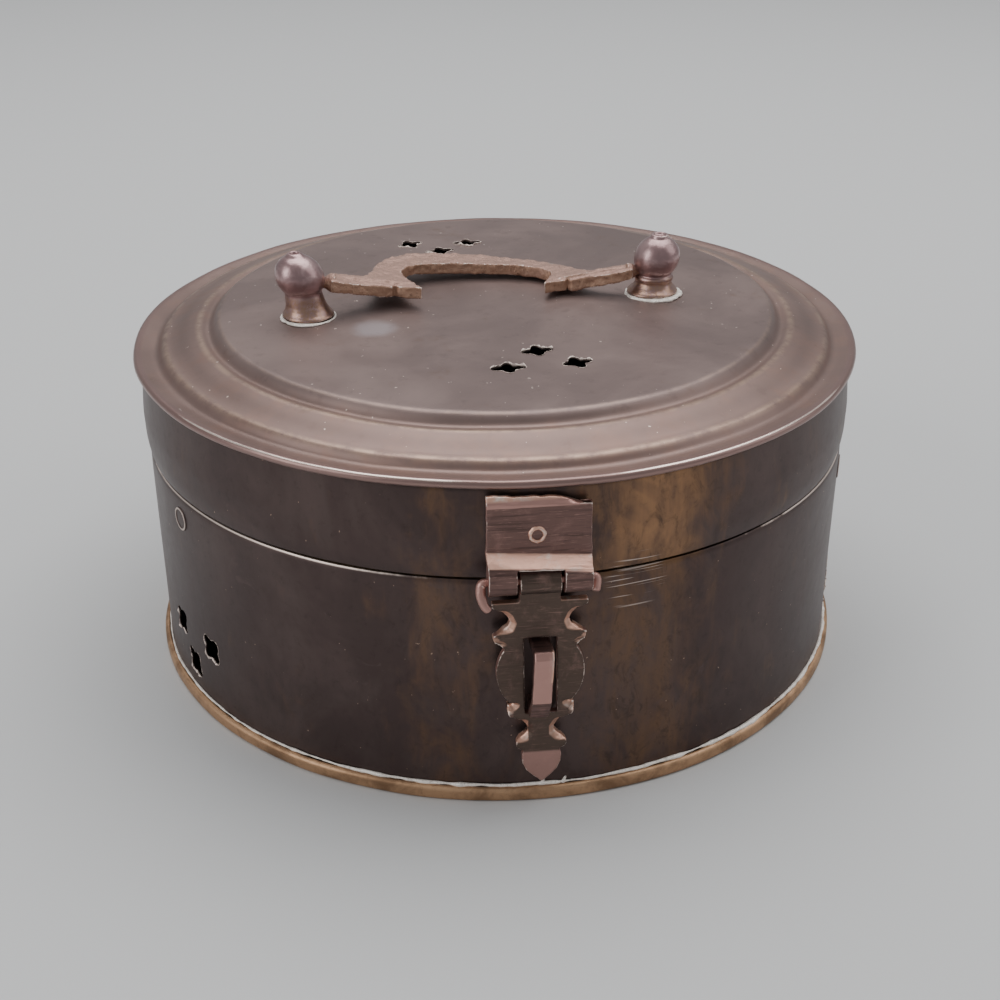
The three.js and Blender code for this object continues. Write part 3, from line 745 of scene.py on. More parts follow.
class BoxColours(bpy.types.PropertyGroup):
    """Colours of the patinas and bare metals."""
    lid_patina: colour("Lid patina", (0.205, 0.149, 0.138), "Satin brown of the lid")
    lid_patina_light: colour("Lid patina, light", (0.25, 0.183, 0.168), "Where the lid's patina is thin")
    # also the colour of the painted shade in the lid's coves and step feet
    lid_dark_patina_and_shade: colour("Lid patina, dark", (0.11, 0.08, 0.074), "Dark mottles on the lid")
    warm_brown: colour("Warm brown", (0.17, 0.105, 0.075), "Warmer stains")
    worn_brass: colour("Worn brass", (0.48, 0.33, 0.245), "Rubbed steps and ridges")
    # also the colour of the painted highlights on the lid's rim and along the wall's seam
    bright_metal: colour("Bright metal", (0.82, 0.68, 0.6), "Fresh nicks and worn edges")
    lid_border: colour("Lid border", (0.265, 0.168, 0.14), "Warmer brown of the lid's border")
    rim_brown: colour("Rim brown", (0.29, 0.183, 0.165), "Rolled edge of the lid")
    scuff: colour("Scuff", (0.42, 0.38, 0.4), "Pale rubbed spots on the lid")
    # colour of the painted reflection on the band right of the hasp
    gold_brown: colour("Golden brown", (0.34, 0.185, 0.095), "Brass that shows on the band right of the hasp")
    wall_patina: colour("Wall patina", (0.07, 0.047, 0.044), "Dark brown of the wall")
    wall_patina_light: colour("Wall patina, light", (0.105, 0.074, 0.068), "Where the wall's patina is thin")
    wall_patina_dark: colour("Wall patina, dark", (0.035, 0.026, 0.024), "Dark mottles on the wall")
    # colour of the painted reflection on the wall beside the hasp
    sheen_brass: colour("Rubbed brass", (0.2, 0.108, 0.056), "Olive brass that shows beside the hasp")
    foot_brass: colour("Foot brass", (0.55, 0.34, 0.2), "Tan brass of the foot")
    foot_dark: colour("Foot brass, dark", (0.28, 0.165, 0.095), "Tarnish on the foot")
    inside_brass: colour("Inside brass", (0.3, 0.205, 0.1), "Brass inside the box")
    inside_dark: colour("Inside brass, dark", (0.12, 0.08, 0.045), "Tarnish inside the box")
    hasp_copper: colour("Hasp copper", (0.17, 0.1, 0.088), "Faces of the bracket and the staple")
    # also the lighter colour of the painted light on the staple's forward faces and the bracket's fold
    hasp_cut_and_lit: colour("Hasp cut edges", (0.5, 0.285, 0.245), "Cut and filed sides")
    # also the colour of the painted highlights on the bracket's upward-facing fold and the leaf's shoulders
    bare_and_glint_copper: colour("Bare copper", (0.78, 0.46, 0.34), "Rubbed folds and cusps of the hasp")
    hasp_dark: colour("Hasp dark", (0.07, 0.045, 0.04), "Dark in the file marks")
    leaf_patina: colour("Leaf patina", (0.1, 0.07, 0.056), "Front of the hasp leaf")
    knob_patina: colour("Knob patina", (0.35, 0.226, 0.226), "Balls of the knobs")
    knob_light: colour("Knob patina, light", (0.5, 0.34, 0.335), "Where the knobs' patina is thin")
    knob_copper: colour("Knob copper", (0.38, 0.235, 0.17), "Rubbed necks of the knobs")
    bail_top: colour("Bail top", (0.42, 0.262, 0.212), "Upper face of the bail")
    bail_side: colour("Bail side", (0.5, 0.31, 0.215), "Sides of the bail")
    solder: colour("Solder", (1.0, 0.93, 0.85), "Bright solder")
    solder_dull: colour("Solder, dull", (0.62, 0.55, 0.48), "Dull solder")
    grime: colour("Grime", (0.035, 0.022, 0.018), "Dirt in corners and pits")


class BoxStage(bpy.types.PropertyGroup):
    """Camera, floor and lights."""
    focal_length: FloatProperty(name="Focal length", description="Lens, in millimetres on a 36 mm sensor",
                                default=55.74, min=10)
    floor_colour: colour("Floor", (0.6, 0.6, 0.6), "Plain pale floor")
    sky_colour: colour("Surround", (0.62, 0.64, 0.66), "Soft light from all round")
    sky_strength: FloatProperty(name="Surround strength", description="Strength of the soft light",
                                default=0.55, min=0)
    key_power: watts("Key light", 9.0, "Power of the large light overhead")
    left_power: watts("Left light", 3.0, "Power of the light at the left")
    right_power: watts("Right light", 1.35, "Power of the light at the right")


# ---- stage ----

CAMERA_AT = (-27.42, -255.16, 154.0)
CAMERA_AHEAD = (0.0974, 0.8825, -0.4600)
CAMERA_ROLL = -0.0057
LIGHT_TARGET = (0, 0, 0.03)
FLOOR_HALF = 4000


def add_camera(focal_length):
    """The camera, level but for a slight roll."""
    ahead = Vector(CAMERA_AHEAD).normalized()
    right = ahead.cross(Vector((0, 0, 1))).normalized()
    up = right.cross(ahead)
    turned_right = right * math.cos(CAMERA_ROLL) + up * math.sin(CAMERA_ROLL)
    turned_up = up * math.cos(CAMERA_ROLL) - right * math.sin(CAMERA_ROLL)
    data = bpy.data.cameras.new("camera")
    data.lens = focal_length
    data.sensor_width = 36
    data.clip_start = 0.01
    camera = bpy.data.objects.new("camera", data)
    basis = Matrix((turned_right, turned_up, -ahead)).transposed().to_4x4()
    camera.matrix_world = Matrix.Translation(Vector(CAMERA_AT) * MM) @ basis
    bpy.context.scene.collection.objects.link(camera)
    bpy.context.scene.camera = camera


def add_light(name, place, width, height, power):
    """A white rectangular light in metres and watts, aimed at the box's middle."""
    data = bpy.data.lights.new(name, "AREA")
    data.shape = "RECTANGLE"
    data.size = width
    data.size_y = height
    data.energy = power
    light = bpy.data.objects.new(name, data)
    place = Vector(place)
    light.matrix_world = Matrix.Translation(place) @ (
        (Vector(LIGHT_TARGET) - place).to_track_quat("-Z", "Y").to_matrix().to_4x4())
    bpy.context.scene.collection.objects.link(light)


def floor_material(tint):
    """Matt, with a very fine grain."""
    material = bpy.data.materials.new("plain_floor")
    material.use_nodes = True
    nodes, links = material.node_tree.nodes, material.node_tree.links
    shader = nodes["Principled BSDF"]
    shader.inputs["Base Color"].default_value = (*tint, 1)
    shader.inputs["Roughness"].default_value = 0.9
    shader.inputs["Specular IOR Level"].default_value = 0.2
    grain = nodes.new("ShaderNodeTexNoise")
    grain.inputs["Scale"].default_value = 600
    bump = nodes.new("ShaderNodeBump")
    bump.inputs["Strength"].default_value = 0.1
    bump.inputs["Distance"].default_value = 0.0003
    links.new(grain.outputs["Fac"], bump.inputs["Height"])
    links.new(bump.outputs[0], shader.inputs["Normal"])
    return material


class BOX_OT_stage(bpy.types.Operator):
    """Add the camera, the pale floor and the soft lights"""
    bl_idname = "lidded_box.stage"
    bl_label = "Stage"

    def execute(self, context):
        stage = context.scene.box_stage
        add_camera(stage.focal_length)
        world = bpy.data.worlds.new("surround")
        world.use_nodes = True
        background = world.node_tree.nodes["Background"]
        background.inputs["Color"].default_value = (*stage.sky_colour, 1)
        background.inputs["Strength"].default_value = stage.sky_strength
        context.scene.world = world
        add_light("key", (0.1, 0.25, 0.9), 1.1, 0.8, stage.key_power)
        add_light("left", (-0.8, -0.35, 0.45), 0.5, 0.7, stage.left_power)
        add_light("right", (0.75, -0.1, 0.5), 0.5, 0.7, stage.right_power)
        corners = [(a * FLOOR_HALF, b * FLOOR_HALF, 0) for a, b in ((-1, -1), (1, -1), (1, 1), (-1, 1))]
        floor = new_piece("floor", corners, [(0, 1, 2, 3)])
        floor.data.materials.append(floor_material(stage.floor_colour))
        return {"FINISHED"}


# ---- sheets: lid, band, wall, collar ----

def arc(centre_r, centre_z, radius, start, stop, steps):
    """Points along an arc, its angles in degrees from the first axis."""
    points = []
    for i in range(steps + 1):
        angle = math.radians(start + (stop - start) * i / steps)
        points.append((centre_r + radius * math.cos(angle), centre_z + radius * math.sin(angle)))
    return points


def star_outline(reach_at, steps=56):
    """A star given as its reach at each angle."""
    outline = []
    for i in range(steps):
        angle = 2 * math.pi * i / steps
        size = reach_at(angle)
        outline.append((size * math.cos(angle), size * math.sin(angle)))
    return outline


def lid_star(sizes, seed):
    """Two thin arms across and two broad lobes along the radius, each cut a little differently."""
    waist, arm, lobe = (v / MM for v in (sizes.lid_vent_waist, sizes.lid_vent_arm, sizes.lid_vent_lobe))

    def reach(angle):
        size = waist + (arm - waist) * abs(math.cos(angle)) ** 8 + (lobe - waist) * abs(math.sin(angle)) ** 5
        return size * (1 + 0.06 * math.sin(2 * angle + seed * 2.3) + 0.04 * math.sin(5 * angle + seed))

    return star_outline(reach)


def wall_star(sizes, seed):
    """A cross with broad arms set aslant."""
    waist, arm = sizes.wall_vent_waist / MM, sizes.wall_vent_reach / MM

    def reach(angle):
        size = waist + (arm - waist) * abs(math.sin(2 * angle)) ** 1.8
        return size * (1 + 0.06 * math.sin(2 * angle + seed * 1.9) + 0.03 * math.sin(5 * angle + seed))

    return star_outline(reach)


LID_VENTS = [(9, 25.9), (-2.5, 31.9), (17.4, 32.4), (-164.5, 27.9), (-176.5, 31.6), (-158.1, 34.5)]
WALL_VENTS = [(centre + side, z) for centre in (-62.5, 76)
              for side, z in ((-5.5, 13.4), (5.5, 13.4), (-1, 7.4))]


def lid_vent_places():
    """Where each lid vent's own axes sit on the lid."""
    places = []
    for i, (degrees, radius) in enumerate(LID_VENTS):
        turn = Matrix.Rotation(math.radians(degrees + 5 * math.sin(i * 1.7)), 4, "Z")
        places.append(Matrix.Translation(bearing(degrees, radius, plateau(radius)) * MM) @ turn)
    return places


def wall_vent_places():
    """Where each wall vent's own axes sit on the wall."""
    places = []
    for degrees, z in WALL_VENTS:
        turn = Matrix.Rotation(math.radians(degrees), 4, "Z")
        upright = Matrix.Rotation(math.pi / 2, 4, "X")
        places.append(turn @ Matrix.Translation((0, -WALL_RADIUS * MM, z * MM)) @ upright)
    return places


def punches_at(places, star, sizes):
    """A star-shaped punch at each vent."""
    return [laid(slab(f"punch_{i}", star(sizes, i), -4, 4), place) for i, place in enumerate(places)]


def burrs(name, places, star, sizes, thick, far, bend=0.0):
    """A thin ragged ridge round each vent, fullest on the side that the punch pushed to."""
    points, faces, sides = [], [], 6
    for n, place in enumerate(places):
        outline = resampled(star(sizes, n), 0.16)
        count, start = len(outline), len(points)
        for i, (a, b) in enumerate(outline):
            after, before = outline[(i + 1) % count], outline[i - 1]
            along = Vector((after[0] - before[0], after[1] - before[1], 0)).normalized()
            out = Vector((along.y, -along.x, 0))
            ragged = noise.noise(Vector((a * 1.7 + n * 9.1, b * 1.7, 3.3)))
            half = thick * max(0.25, 0.75 + 1.2 * ragged) * (0.22 + 0.9 * max(0.0, out.dot(far)) ** 1.5)
            middle = Vector((a, b, 0)) + out * half * 0.2
            middle.z = half * 0.2 - bend * middle.x ** 2
            for k in range(sides):
                angle = 2 * math.pi * k / sides
                at = middle + half * (out * math.cos(angle) + Vector((0, 0, 1)) * math.sin(angle) * 1.2)
                points.append((place @ (at * MM)) / MM)
        faces += ring_faces(count, sides, start)
    piece = new_piece(name, points, faces)
    face_outwards(piece)
    rounded_shading(piece, 80)
    return piece


def punch_out(piece, punches):
    """Cut the punches through a sheet, leaving sharp sides."""
    punch = joined("punches", punches)
    cutter = piece.modifiers.new("punch", "BOOLEAN")
    cutter.operation = "DIFFERENCE"
    cutter.solver = "EXACT"
    cutter.object = punch
    settle(piece)
    drop(punch)


def wander(piece, amount, size, seed):
    """Move a sheet a little out and in, with dents that run taller than they are wide."""
    points = points_of(piece)
    shift = unevenness(points * np.array([1, 1, 0.6]), size, seed) * amount
    radius = np.maximum(np.hypot(points[:, 0], points[:, 1]), 1e-3)
    points[:, 0] += points[:, 0] / radius * shift
    points[:, 1] += points[:, 1] / radius * shift
    set_points(piece, points)


ROLL_MIDDLE = (61.8, 55.5)


def plateau(radius):
    """Height of the lid's crowned middle."""
    return 60.3 + 0.9 * (1 - (radius / 48.5) ** 2)


def lid_profile(sheet_edge):
    """Section of the lid: crowned middle, two steps, flange and rolled edge, then back along the inside."""
    outside = [(0, plateau(0))] + [(r, plateau(r)) for r in (12, 24, 36, 44, 47.0)]
    outside += [(47.6, 60.3), (48.1, 60.05), (48.6, 59.5), (49.0, 58.95), (49.5, 58.6), (50.0, 58.62),
                (50.6, 58.9), (51.2, 58.98), (51.9, 58.8), (53.2, 58.35), (54.8, 57.75), (56.0, 57.35),
                (56.8, 57.2), (57.3, 57.05), (57.8, 56.55), (58.15, 56.0), (58.55, 55.72), (59.2, 55.68),
                (60.0, 55.82), (60.8, 56.02)]
    roll = arc(*ROLL_MIDDLE, 0.72, 80, -165, 14)
    inside = [(60.9, 54.95), (58.6, 55.1), (57.2, 55.6), (55.4, 56.6), (52.8, 57.6), (50.6, 57.9),
              (49.5, 57.8), (48.4, 58.8), (47.6, 59.5), (46.6, plateau(46.6) - sheet_edge - 0.15)]
    inside += [(r, plateau(r) - sheet_edge) for r in (40, 24, 12)] + [(0, plateau(0) - sheet_edge)]
    return eased(resampled(outside + roll + inside, 0.3), 1)


class BOX_OT_lid(bpy.types.Operator):
    """Build the stepped, pierced lid and the band below it"""
    bl_idname = "lidded_box.lid"
    bl_label = "Lid and band"

    def execute(self, context):
        sizes = context.scene.box_sizes
        segments = sizes.round_segments
        dents = sizes.sheet_dents / MM
        lid = turned("lid_shell", lid_profile(sizes.sheet_edge / MM), segments)
        punch_out(lid, punches_at(lid_vent_places(), lid_star, sizes))
        points = points_of(lid)
        points[:, 2] += dents * 1.6 * unevenness(points, 22.0, 3) + dents * 0.6 * unevenness(points, 7.0, 5)
        set_points(lid, points)
        wander(lid, dents * 1.5, 19.0, 7)
        measure_relief(lid, 0.7)
        points = points_of(lid)
        out, up = np.hypot(points[:, 0], points[:, 1]), points[:, 2]
        store(lid, "rim", np.clip((out - 60.9) / 0.5, 0, 1))
        # painted highlight: a bright line along the upper crest of the rolled rim, only at the bearings
        # either side of the front where the lamps catch it
        lie = np.degrees(np.arctan2(up - ROLL_MIDDLE[1], out - ROLL_MIDDLE[0]))
        facing = np.degrees(np.arctan2(points[:, 0], -points[:, 1]))
        lit = np.clip(1 - np.abs(facing + 33) / 32, 0, 1) + np.clip(1 - np.abs(facing - 33) / 30, 0, 1)
        crest = np.clip(1 - np.abs(lie - 58) / 24, 0, 1) * (out > 61.5)
        store(lid, "rim_highlight", crest * np.clip(lit * 2.5, 0, 1))
        rounded_shading(lid, 40)
        finished(lid, "lid", finish("lid"), "lid_patina", "lid_top")
        ridges = burrs("lid_vent_burrs", lid_vent_places(), lid_star, sizes, 0.2, Vector((0.25, 0.97, 0)))
        finished(ridges, "lid", finish("burr"), "hasp_copper")

        top = 55.0
        outside = [(61.2, top), (61.5, 50.5), (61.8, 46.5), (61.72, 42.6), (61.45, 40.6),
                   (61.3, SEAM_HIGH + 0.1), (61.15, SEAM_HIGH)]
        inside = [(r - SHEET, z) for r, z in reversed(outside)]
        band = turned("lid_band_shell", eased(resampled(outside + inside, 0.6), 1), segments)
        wander(band, dents, 16.0, 11)
        measure_relief(band, 0.9)
        rounded_shading(band, 40)
        finished(band, "lid", finish("wall"), "wall_patina", "lid_band")
        return {"FINISHED"}


COLLAR_RIVETS = {"left": -63, "right": 69}
COLLAR_RIVET_HEIGHT = 35.4
COLLAR_RIVET_RING = 1.82
COLLAR_RIVET_PROFILE = [
    (0, 61.5), (1.25, 61.48), (1.5, 61.42), (1.62, 61.56), (1.85, 61.6), (2.05, 61.5), (2.1, 61.2),
    (1.8, 61.1), (1.8, 59.1), (2.6, 59.1), (2.5, 58.7), (1.8, 58.4), (0, 58.4)]


class BOX_OT_wall(bpy.types.Operator):
    """Build the pierced wall, the collar inside it and the collar's rivets"""
    bl_idname = "lidded_box.wall"
    bl_label = "Wall and collar"

    def execute(self, context):
        sizes = context.scene.box_sizes
        segments = sizes.round_segments
        dents = sizes.sheet_dents / MM
        top = SEAM_LOW
        outside = [(WALL_RADIUS, 1.2), (WALL_RADIUS, 20), (WALL_RADIUS + 0.05, 36), (WALL_RADIUS, top - 0.15),
                   (WALL_RADIUS - 0.2, top)]
        edge = WALL_RADIUS - sizes.sheet_edge / MM
        inner = WALL_RADIUS - SHEET
        inside = [(inner + 0.15, top), (inner, top - 0.15), (inner, 22), (edge, 20), (edge, 1.2)]
        wall = turned("wall_shell", eased(resampled(outside + inside, 0.9), 1), segments)
        punch_out(wall, punches_at(wall_vent_places(), wall_star, sizes))
        wander(wall, dents * 1.3, 18.0, 13)
        measure_relief(wall, 0.9)
        rounded_shading(wall, 40)
        finished(wall, "base", finish("wall"), "wall_patina", "body_wall")
        ridges = burrs("wall_vent_burrs", wall_vent_places(), wall_star, sizes, 0.17,
                       Vector((-0.45, -0.9, 0)), 0.5 / WALL_RADIUS)
        finished(ridges, "base", finish("burr"), "hasp_copper")

        low, high = cad_low("inner_collar")[2], cad_high("inner_collar")[2]
        outer = cad_high("inner_collar")[0]
        profile = [(outer, low), (outer, high - 0.3), (outer - 0.25, high), (outer - 0.6, high),
                   (outer - SHEET, high - 0.2), (outer - SHEET, low)]
        collar = turned("collar_shell", eased(resampled(profile, 0.6), 1), segments)
        wander(collar, dents * 0.5, 16.0, 17)
        measure_relief(collar, 0.9)
        rounded_shading(collar, 40)
        finished(collar, "base", finish("inside"), "inside_brass", "inner_collar")

        for side, degrees in COLLAR_RIVETS.items():
            turn = math.radians(degrees)
            rivet = turned(f"collar_rivet_{side}_head", eased(resampled(COLLAR_RIVET_PROFILE, 0.12), 1), 48)
            raised = Matrix.Translation((0, 0, COLLAR_RIVET_HEIGHT * MM))
            laid(rivet, Matrix.Rotation(turn, 4, "Z") @ raised @ FRONT_ON)
            measure_relief(rivet, 0.35)
            points = points_of(rivet)
            across = points[:, 0] * math.cos(turn) + points[:, 1] * math.sin(turn)
            out = np.hypot(across, points[:, 2] - COLLAR_RIVET_HEIGHT)
            store(rivet, "ring", np.clip(1 - np.abs(out - COLLAR_RIVET_RING) / 0.22, 0, 1))
            rounded_shading(rivet, 50)
            finished(rivet, "base", finish("wall"), "wall_patina", f"collar_rivet_{side}")
        return {"FINISHED"}


# ---- foot ----

def bead(name, radius_at, height_at, half_at, segments):
    """A closed bead around the box, its place and thickness changing with the bearing."""
    points, sides = [], 10
    for i in range(segments):
        degrees = 360 * i / segments
        radius, height, half = radius_at(degrees), height_at(degrees), half_at(degrees)
        for k in range(sides):
            angle = 2 * math.pi * k / sides
            points.append(bearing(degrees, radius + half * math.cos(angle), height + half * math.sin(angle)))
    piece = new_piece(name, points, ring_faces(segments, sides))
    face_outwards(piece)
    return piece


def wave(degrees, size, seed):
    """Soft noise around the box, in -1..1, with lumps about `size` degrees long."""
    at = bearing(degrees, 57.3 / size)
    return noise.noise(at + Vector((seed * 3.7, seed * 1.9, seed * 7.1)))


class BOX_OT_foot(bpy.types.Operator):
    """Build the foot ring and its solder bead, and finish the floor plate"""
    bl_idname = "lidded_box.foot"
    bl_label = "Foot"

    def execute(self, context):
        sizes = context.scene.box_sizes
        segments = sizes.round_segments
        dents = sizes.sheet_dents / MM
        profile = [(61.5, 0), (FOOT_RADIUS - 0.35, 0), (FOOT_RADIUS - 0.1, 0.15), (FOOT_RADIUS, 0.45),
                   *arc(FOOT_RADIUS - 0.7, FOOT_HEIGHT - 0.7, 0.7, 0, 90, 8), (61.5, FOOT_HEIGHT)]
        foot = turned("foot_band", eased(resampled(profile, 0.25), 2), segments)
        wander(foot, dents * 1.5, 14.0, 19)
        measure_relief(foot, 0.5)
        rounded_shading(foot, 40)
        finished(foot, "base", finish("foot"), "foot_brass", "foot_ring")

        thick = sizes.bead_thickness / MM

        def half(degrees):
            run = 0.5 + 0.5 * math.cos(math.radians(degrees - 45))
            lumps = 0.55 * wave(degrees, 9, 1) + 0.5 * wave(degrees, 3, 2) + 0.35 * wave(degrees, 1.2, 3)
            return thick * (0.35 + 0.5 * run) * max(0.3, 1 + lumps)

        def radius(degrees):
            return WALL_RADIUS + 0.1 + 0.45 * half(degrees) + 0.06 * wave(degrees, 4, 4)

        def height(degrees):
            return FOOT_HEIGHT + 0.12 + 0.18 * wave(degrees, 6, 5) + 0.1 * wave(degrees, 2, 6)

        line = bead("foot_solder_bead", radius, height, half, 1200)
        drips = []
        for degrees, rise in ((0.2, 0.75), (3.4, 0.95)):
            path = [bearing(degrees + 0.4 * t, WALL_RADIUS + 0.25 - 0.1 * t, FOOT_HEIGHT + 0.1 + rise * t)
                    for t in (0, 0.25, 0.5, 0.75, 1)]
            drips.append(rod("drip", path, [0.5, 0.46, 0.36, 0.3, 0.22], 10, 0.6))
        solder = joined("foot_solder_bead", [line, *drips])
        rounded_shading(solder, 60)
        finished(solder, "base", finish("solder"), "solder", "foot_solder")
        clad("base_plate", finish("foot"))
        return {"FINISHED"}


# ---- hasp ----

def side_cut(piece, axis):
    """Mark how far each point's face looks away from the given axis."""
    normals = normals_of(piece)
    store(piece, "cut", 1 - np.abs(normals @ np.array(axis, dtype=float)))


def roughen(piece, amount, size, seed, fine=0.4):
    """Push the skin in and out, as hammering and filing leave it."""
    points, normals = points_of(piece), normals_of(piece)
    shift = amount * (unevenness(points, size, seed) + fine * unevenness(points, size * 0.35, seed + 1))
    set_points(piece, points + normals * shift[:, None])


BRACKET_BACK = -62.0
BRACKET_HALF = 7.6
STRAP = 1.2
TONGUE_HALF = 3.0
HASP_BARREL = 2.0


def bracket(sizes):
    """The plate on the lid, folded into two barrels, a little askew and chipped along its top."""
    back, front = BRACKET_BACK, BRACKET_BACK - STRAP
    pin_y, pin_z = HASP_PIN
    plate = [(back, 53.95), (front + 0.55, 53.95), (front - 0.05, 52.9), (front - 0.05, 45.0),
             (pin_y - 1.45, 43.65), (pin_y - 1.55, 43.35), (back, 43.35)]
    knuckle = [(back, 43.5), (pin_y - 1.5, 43.5), (pin_y - 1.95, 42.9),
               *arc(pin_y, pin_z, HASP_BARREL, 178, 350, 16), (back, 42.4)]
    low, high = -BRACKET_HALF, BRACKET_HALF
    pieces = [laid(slab("plate", plate, low, high), SIDE_ON)]
    for start, stop in ((low, -TONGUE_HALF - 0.5), (TONGUE_HALF + 0.5, high)):
        pieces.append(laid(slab("knuckle", knuckle, start, stop), SIDE_ON))
    whole = joined("hasp_bracket_plate", pieces)
    wrought(whole, sizes.metal_skin / MM, 2)
    points = points_of(whole)
    upper = np.clip((points[:, 2] - 47) / 5, 0, 1)
    tilt = np.clip((points[:, 2] - 42.6) / 1.5, 0, 1) * (0.075 - 0.03 * upper)
    points[:, 2] -= tilt * (points[:, 0] + 1)
    chips = np.clip((points[:, 2] - 52.7) / 1.0, 0, 1)
    corner = np.clip((points[:, 0] - 3.2) / 4.2, 0, 1) * chips
    ragged = unevenness(points * np.array([1, 0.15, 0.15]), 1.3, 21)
    points[:, 2] -= chips * (0.1 + 0.2 * ragged) + corner * 1.5
    flare = np.clip(1 - np.abs(points[:, 2] - 45.2) / 1.8, 0, 1)
    points[:, 0] *= 1 + 0.02 * flare
    points[:, 0] += HASP_X
    set_points(whole, points)
    roughen(whole, 0.08, 2.2, 23)
    measure_relief(whole, 0.28, 3)
    normals = normals_of(whole)
    level = points[:, 2] + 0.075 * (points[:, 0] - HASP_X)
    # painted highlight: the upward-facing slope where the plate folds out to the barrels takes the lighter
    # cut colour and the bright bare colour because it catches the overhead light
    fold = np.clip((normals[:, 2] - 0.3) / 0.25, 0, 1) * np.clip((level - 43.35) / 0.2, 0, 1) * (level < 46)
    top = np.clip((points[:, 2] - 52.2) / 0.5, 0, 1)
    store(whole, "cut", np.maximum(np.maximum(fold, top * 0.95), np.abs(normals[:, 0]) * 0.8))
    store(whole, "bare_and_glint", np.maximum(fold * 0.7, np.clip((points[:, 2] - 53.3) / 0.4, 0, 1)))
    return whole


def oval(half_width, half_height, middle, start, stop, steps):
    """Part of an upright oval, as (x, z)."""
    return [(half_width * a, middle + half_height * b) for a, b in arc(0, 0, 1, start, stop, steps)]


# right edge of the leaf, from its shoulder down past the oval round the slot to the tip of the spade
LEAF_EDGE = [
    (7.1, 37.5), (7.1, 36.75), (6.2, 36.3), (5.5, 35.6), (4.8, 34.8), (4.4, 33.9), (4.7, 33.1), (5.6, 32.5),
    (6.9, 31.9), (7.0, 31.1), (6.8, 30.4), (5.9, 30.1), *oval(6.65, 7.3, 25.2, 37, -47, 14),
    (4.1, 19.6), (4.4, 19.3), (5.05, 19.2), (5.1, 18.3), (4.8, 17.4), (3.7, 17.0), (3.0, 16.5), (2.4, 15.7),
    (2.0, 14.9), (2.05, 14.2), (2.7, 13.4), (3.8, 12.6), (3.85, 12.0), (3.5, 11.4),
    (2.75, 11.1), (3.05, 10.0), (2.95, 8.7), (2.35, 7.3), (1.35, 6.2), (0.55, 5.5)]
# height and half length of each stretch whose front edge is filed to a bevel
FILED_CUSPS = [(34.2, 2.1), (30.9, 0.9), (18.9, 1.1), (14.7, 2.2)]


def leaf(sizes):
    """The cusped, slotted leaf with its barrel between those of the bracket."""
    back, front = 62.9, 64.1
    outline = LEAF_EDGE + [(0, 5.0)] + [(-x, z) for x, z in reversed(LEAF_EDGE)]
    slot = [(-2.45, 17.9), (2.45, 17.9), (2.45, 31.3), (-2.45, 31.3)]
    plate = laid(slab("plate", outline, back, front + 0.1, [slot], 0.42), FRONT_ON)
    tongue = laid(slab("tongue", [(-TONGUE_HALF, 36.9), (TONGUE_HALF, 36.9), (TONGUE_HALF, 41.0),
                                  (-TONGUE_HALF, 41.0)], back, front + 0.1), FRONT_ON)
    pin_y, pin_z = HASP_PIN
    barrel = slab("barrel", arc(pin_y, pin_z, HASP_BARREL, 0, 345, 23), -TONGUE_HALF, TONGUE_HALF)
    laid(barrel, SIDE_ON)
    whole = joined("hasp_leaf_plate", [plate, tongue, barrel])
    wrought(whole, sizes.metal_skin / MM, 1)
    points = points_of(whole)
    edge = np.array(resampled(outline, 0.25))
    height = points[:, 2]
    gap = np.full(len(points), 9.0)
    for x, z in edge:
        gap = np.minimum(gap, np.hypot(points[:, 0] - x, height - z))
    filed = sum(np.clip((reach - np.abs(height - z)) / 0.5, 0, 1) for z, reach in FILED_CUSPS)
    filed = np.clip(filed, 0, 1) * np.clip(1 - gap / 0.95, 0, 1) * (points[:, 1] < -63.0)
    points[:, 1] += 0.8 * filed
    points[:, 0] += HASP_X + 0.014 * (pin_z - points[:, 2])
    set_points(whole, points)
    roughen(whole, 0.07, 2.4, 27)
    measure_relief(whole, 0.28, 2)
    points, normals = points_of(whole), normals_of(whole)
    height = points[:, 2]
    cusps = np.clip(filed * 4, 0, 1)
    slanted = np.clip((1 - np.abs(normals[:, 1])) * 3.5 - 0.2, 0, 1) * (np.abs(points[:, 0] - HASP_X) > 1.6)
    # painted highlight: the upward-facing top edges of the shoulders are marked bare so they show bright
    shoulder = np.clip(normals[:, 2] * 2 - 0.6, 0, 1) * (height > 36) * (height < 38.5)
    store(whole, "bare_and_glint", np.clip(np.maximum(slanted * np.clip(cusps * 2, 0, 1), shoulder), 0, 1))
    spade = np.clip((11.6 - height) / 1.0, 0, 1) * 0.62
    cut = np.maximum(1 - np.abs(normals[:, 1]), spade)
    store(whole, "cut", cut)
    return whole


STAPLE_X = -0.5
HASP_RIVET = (-0.9, 48.05)


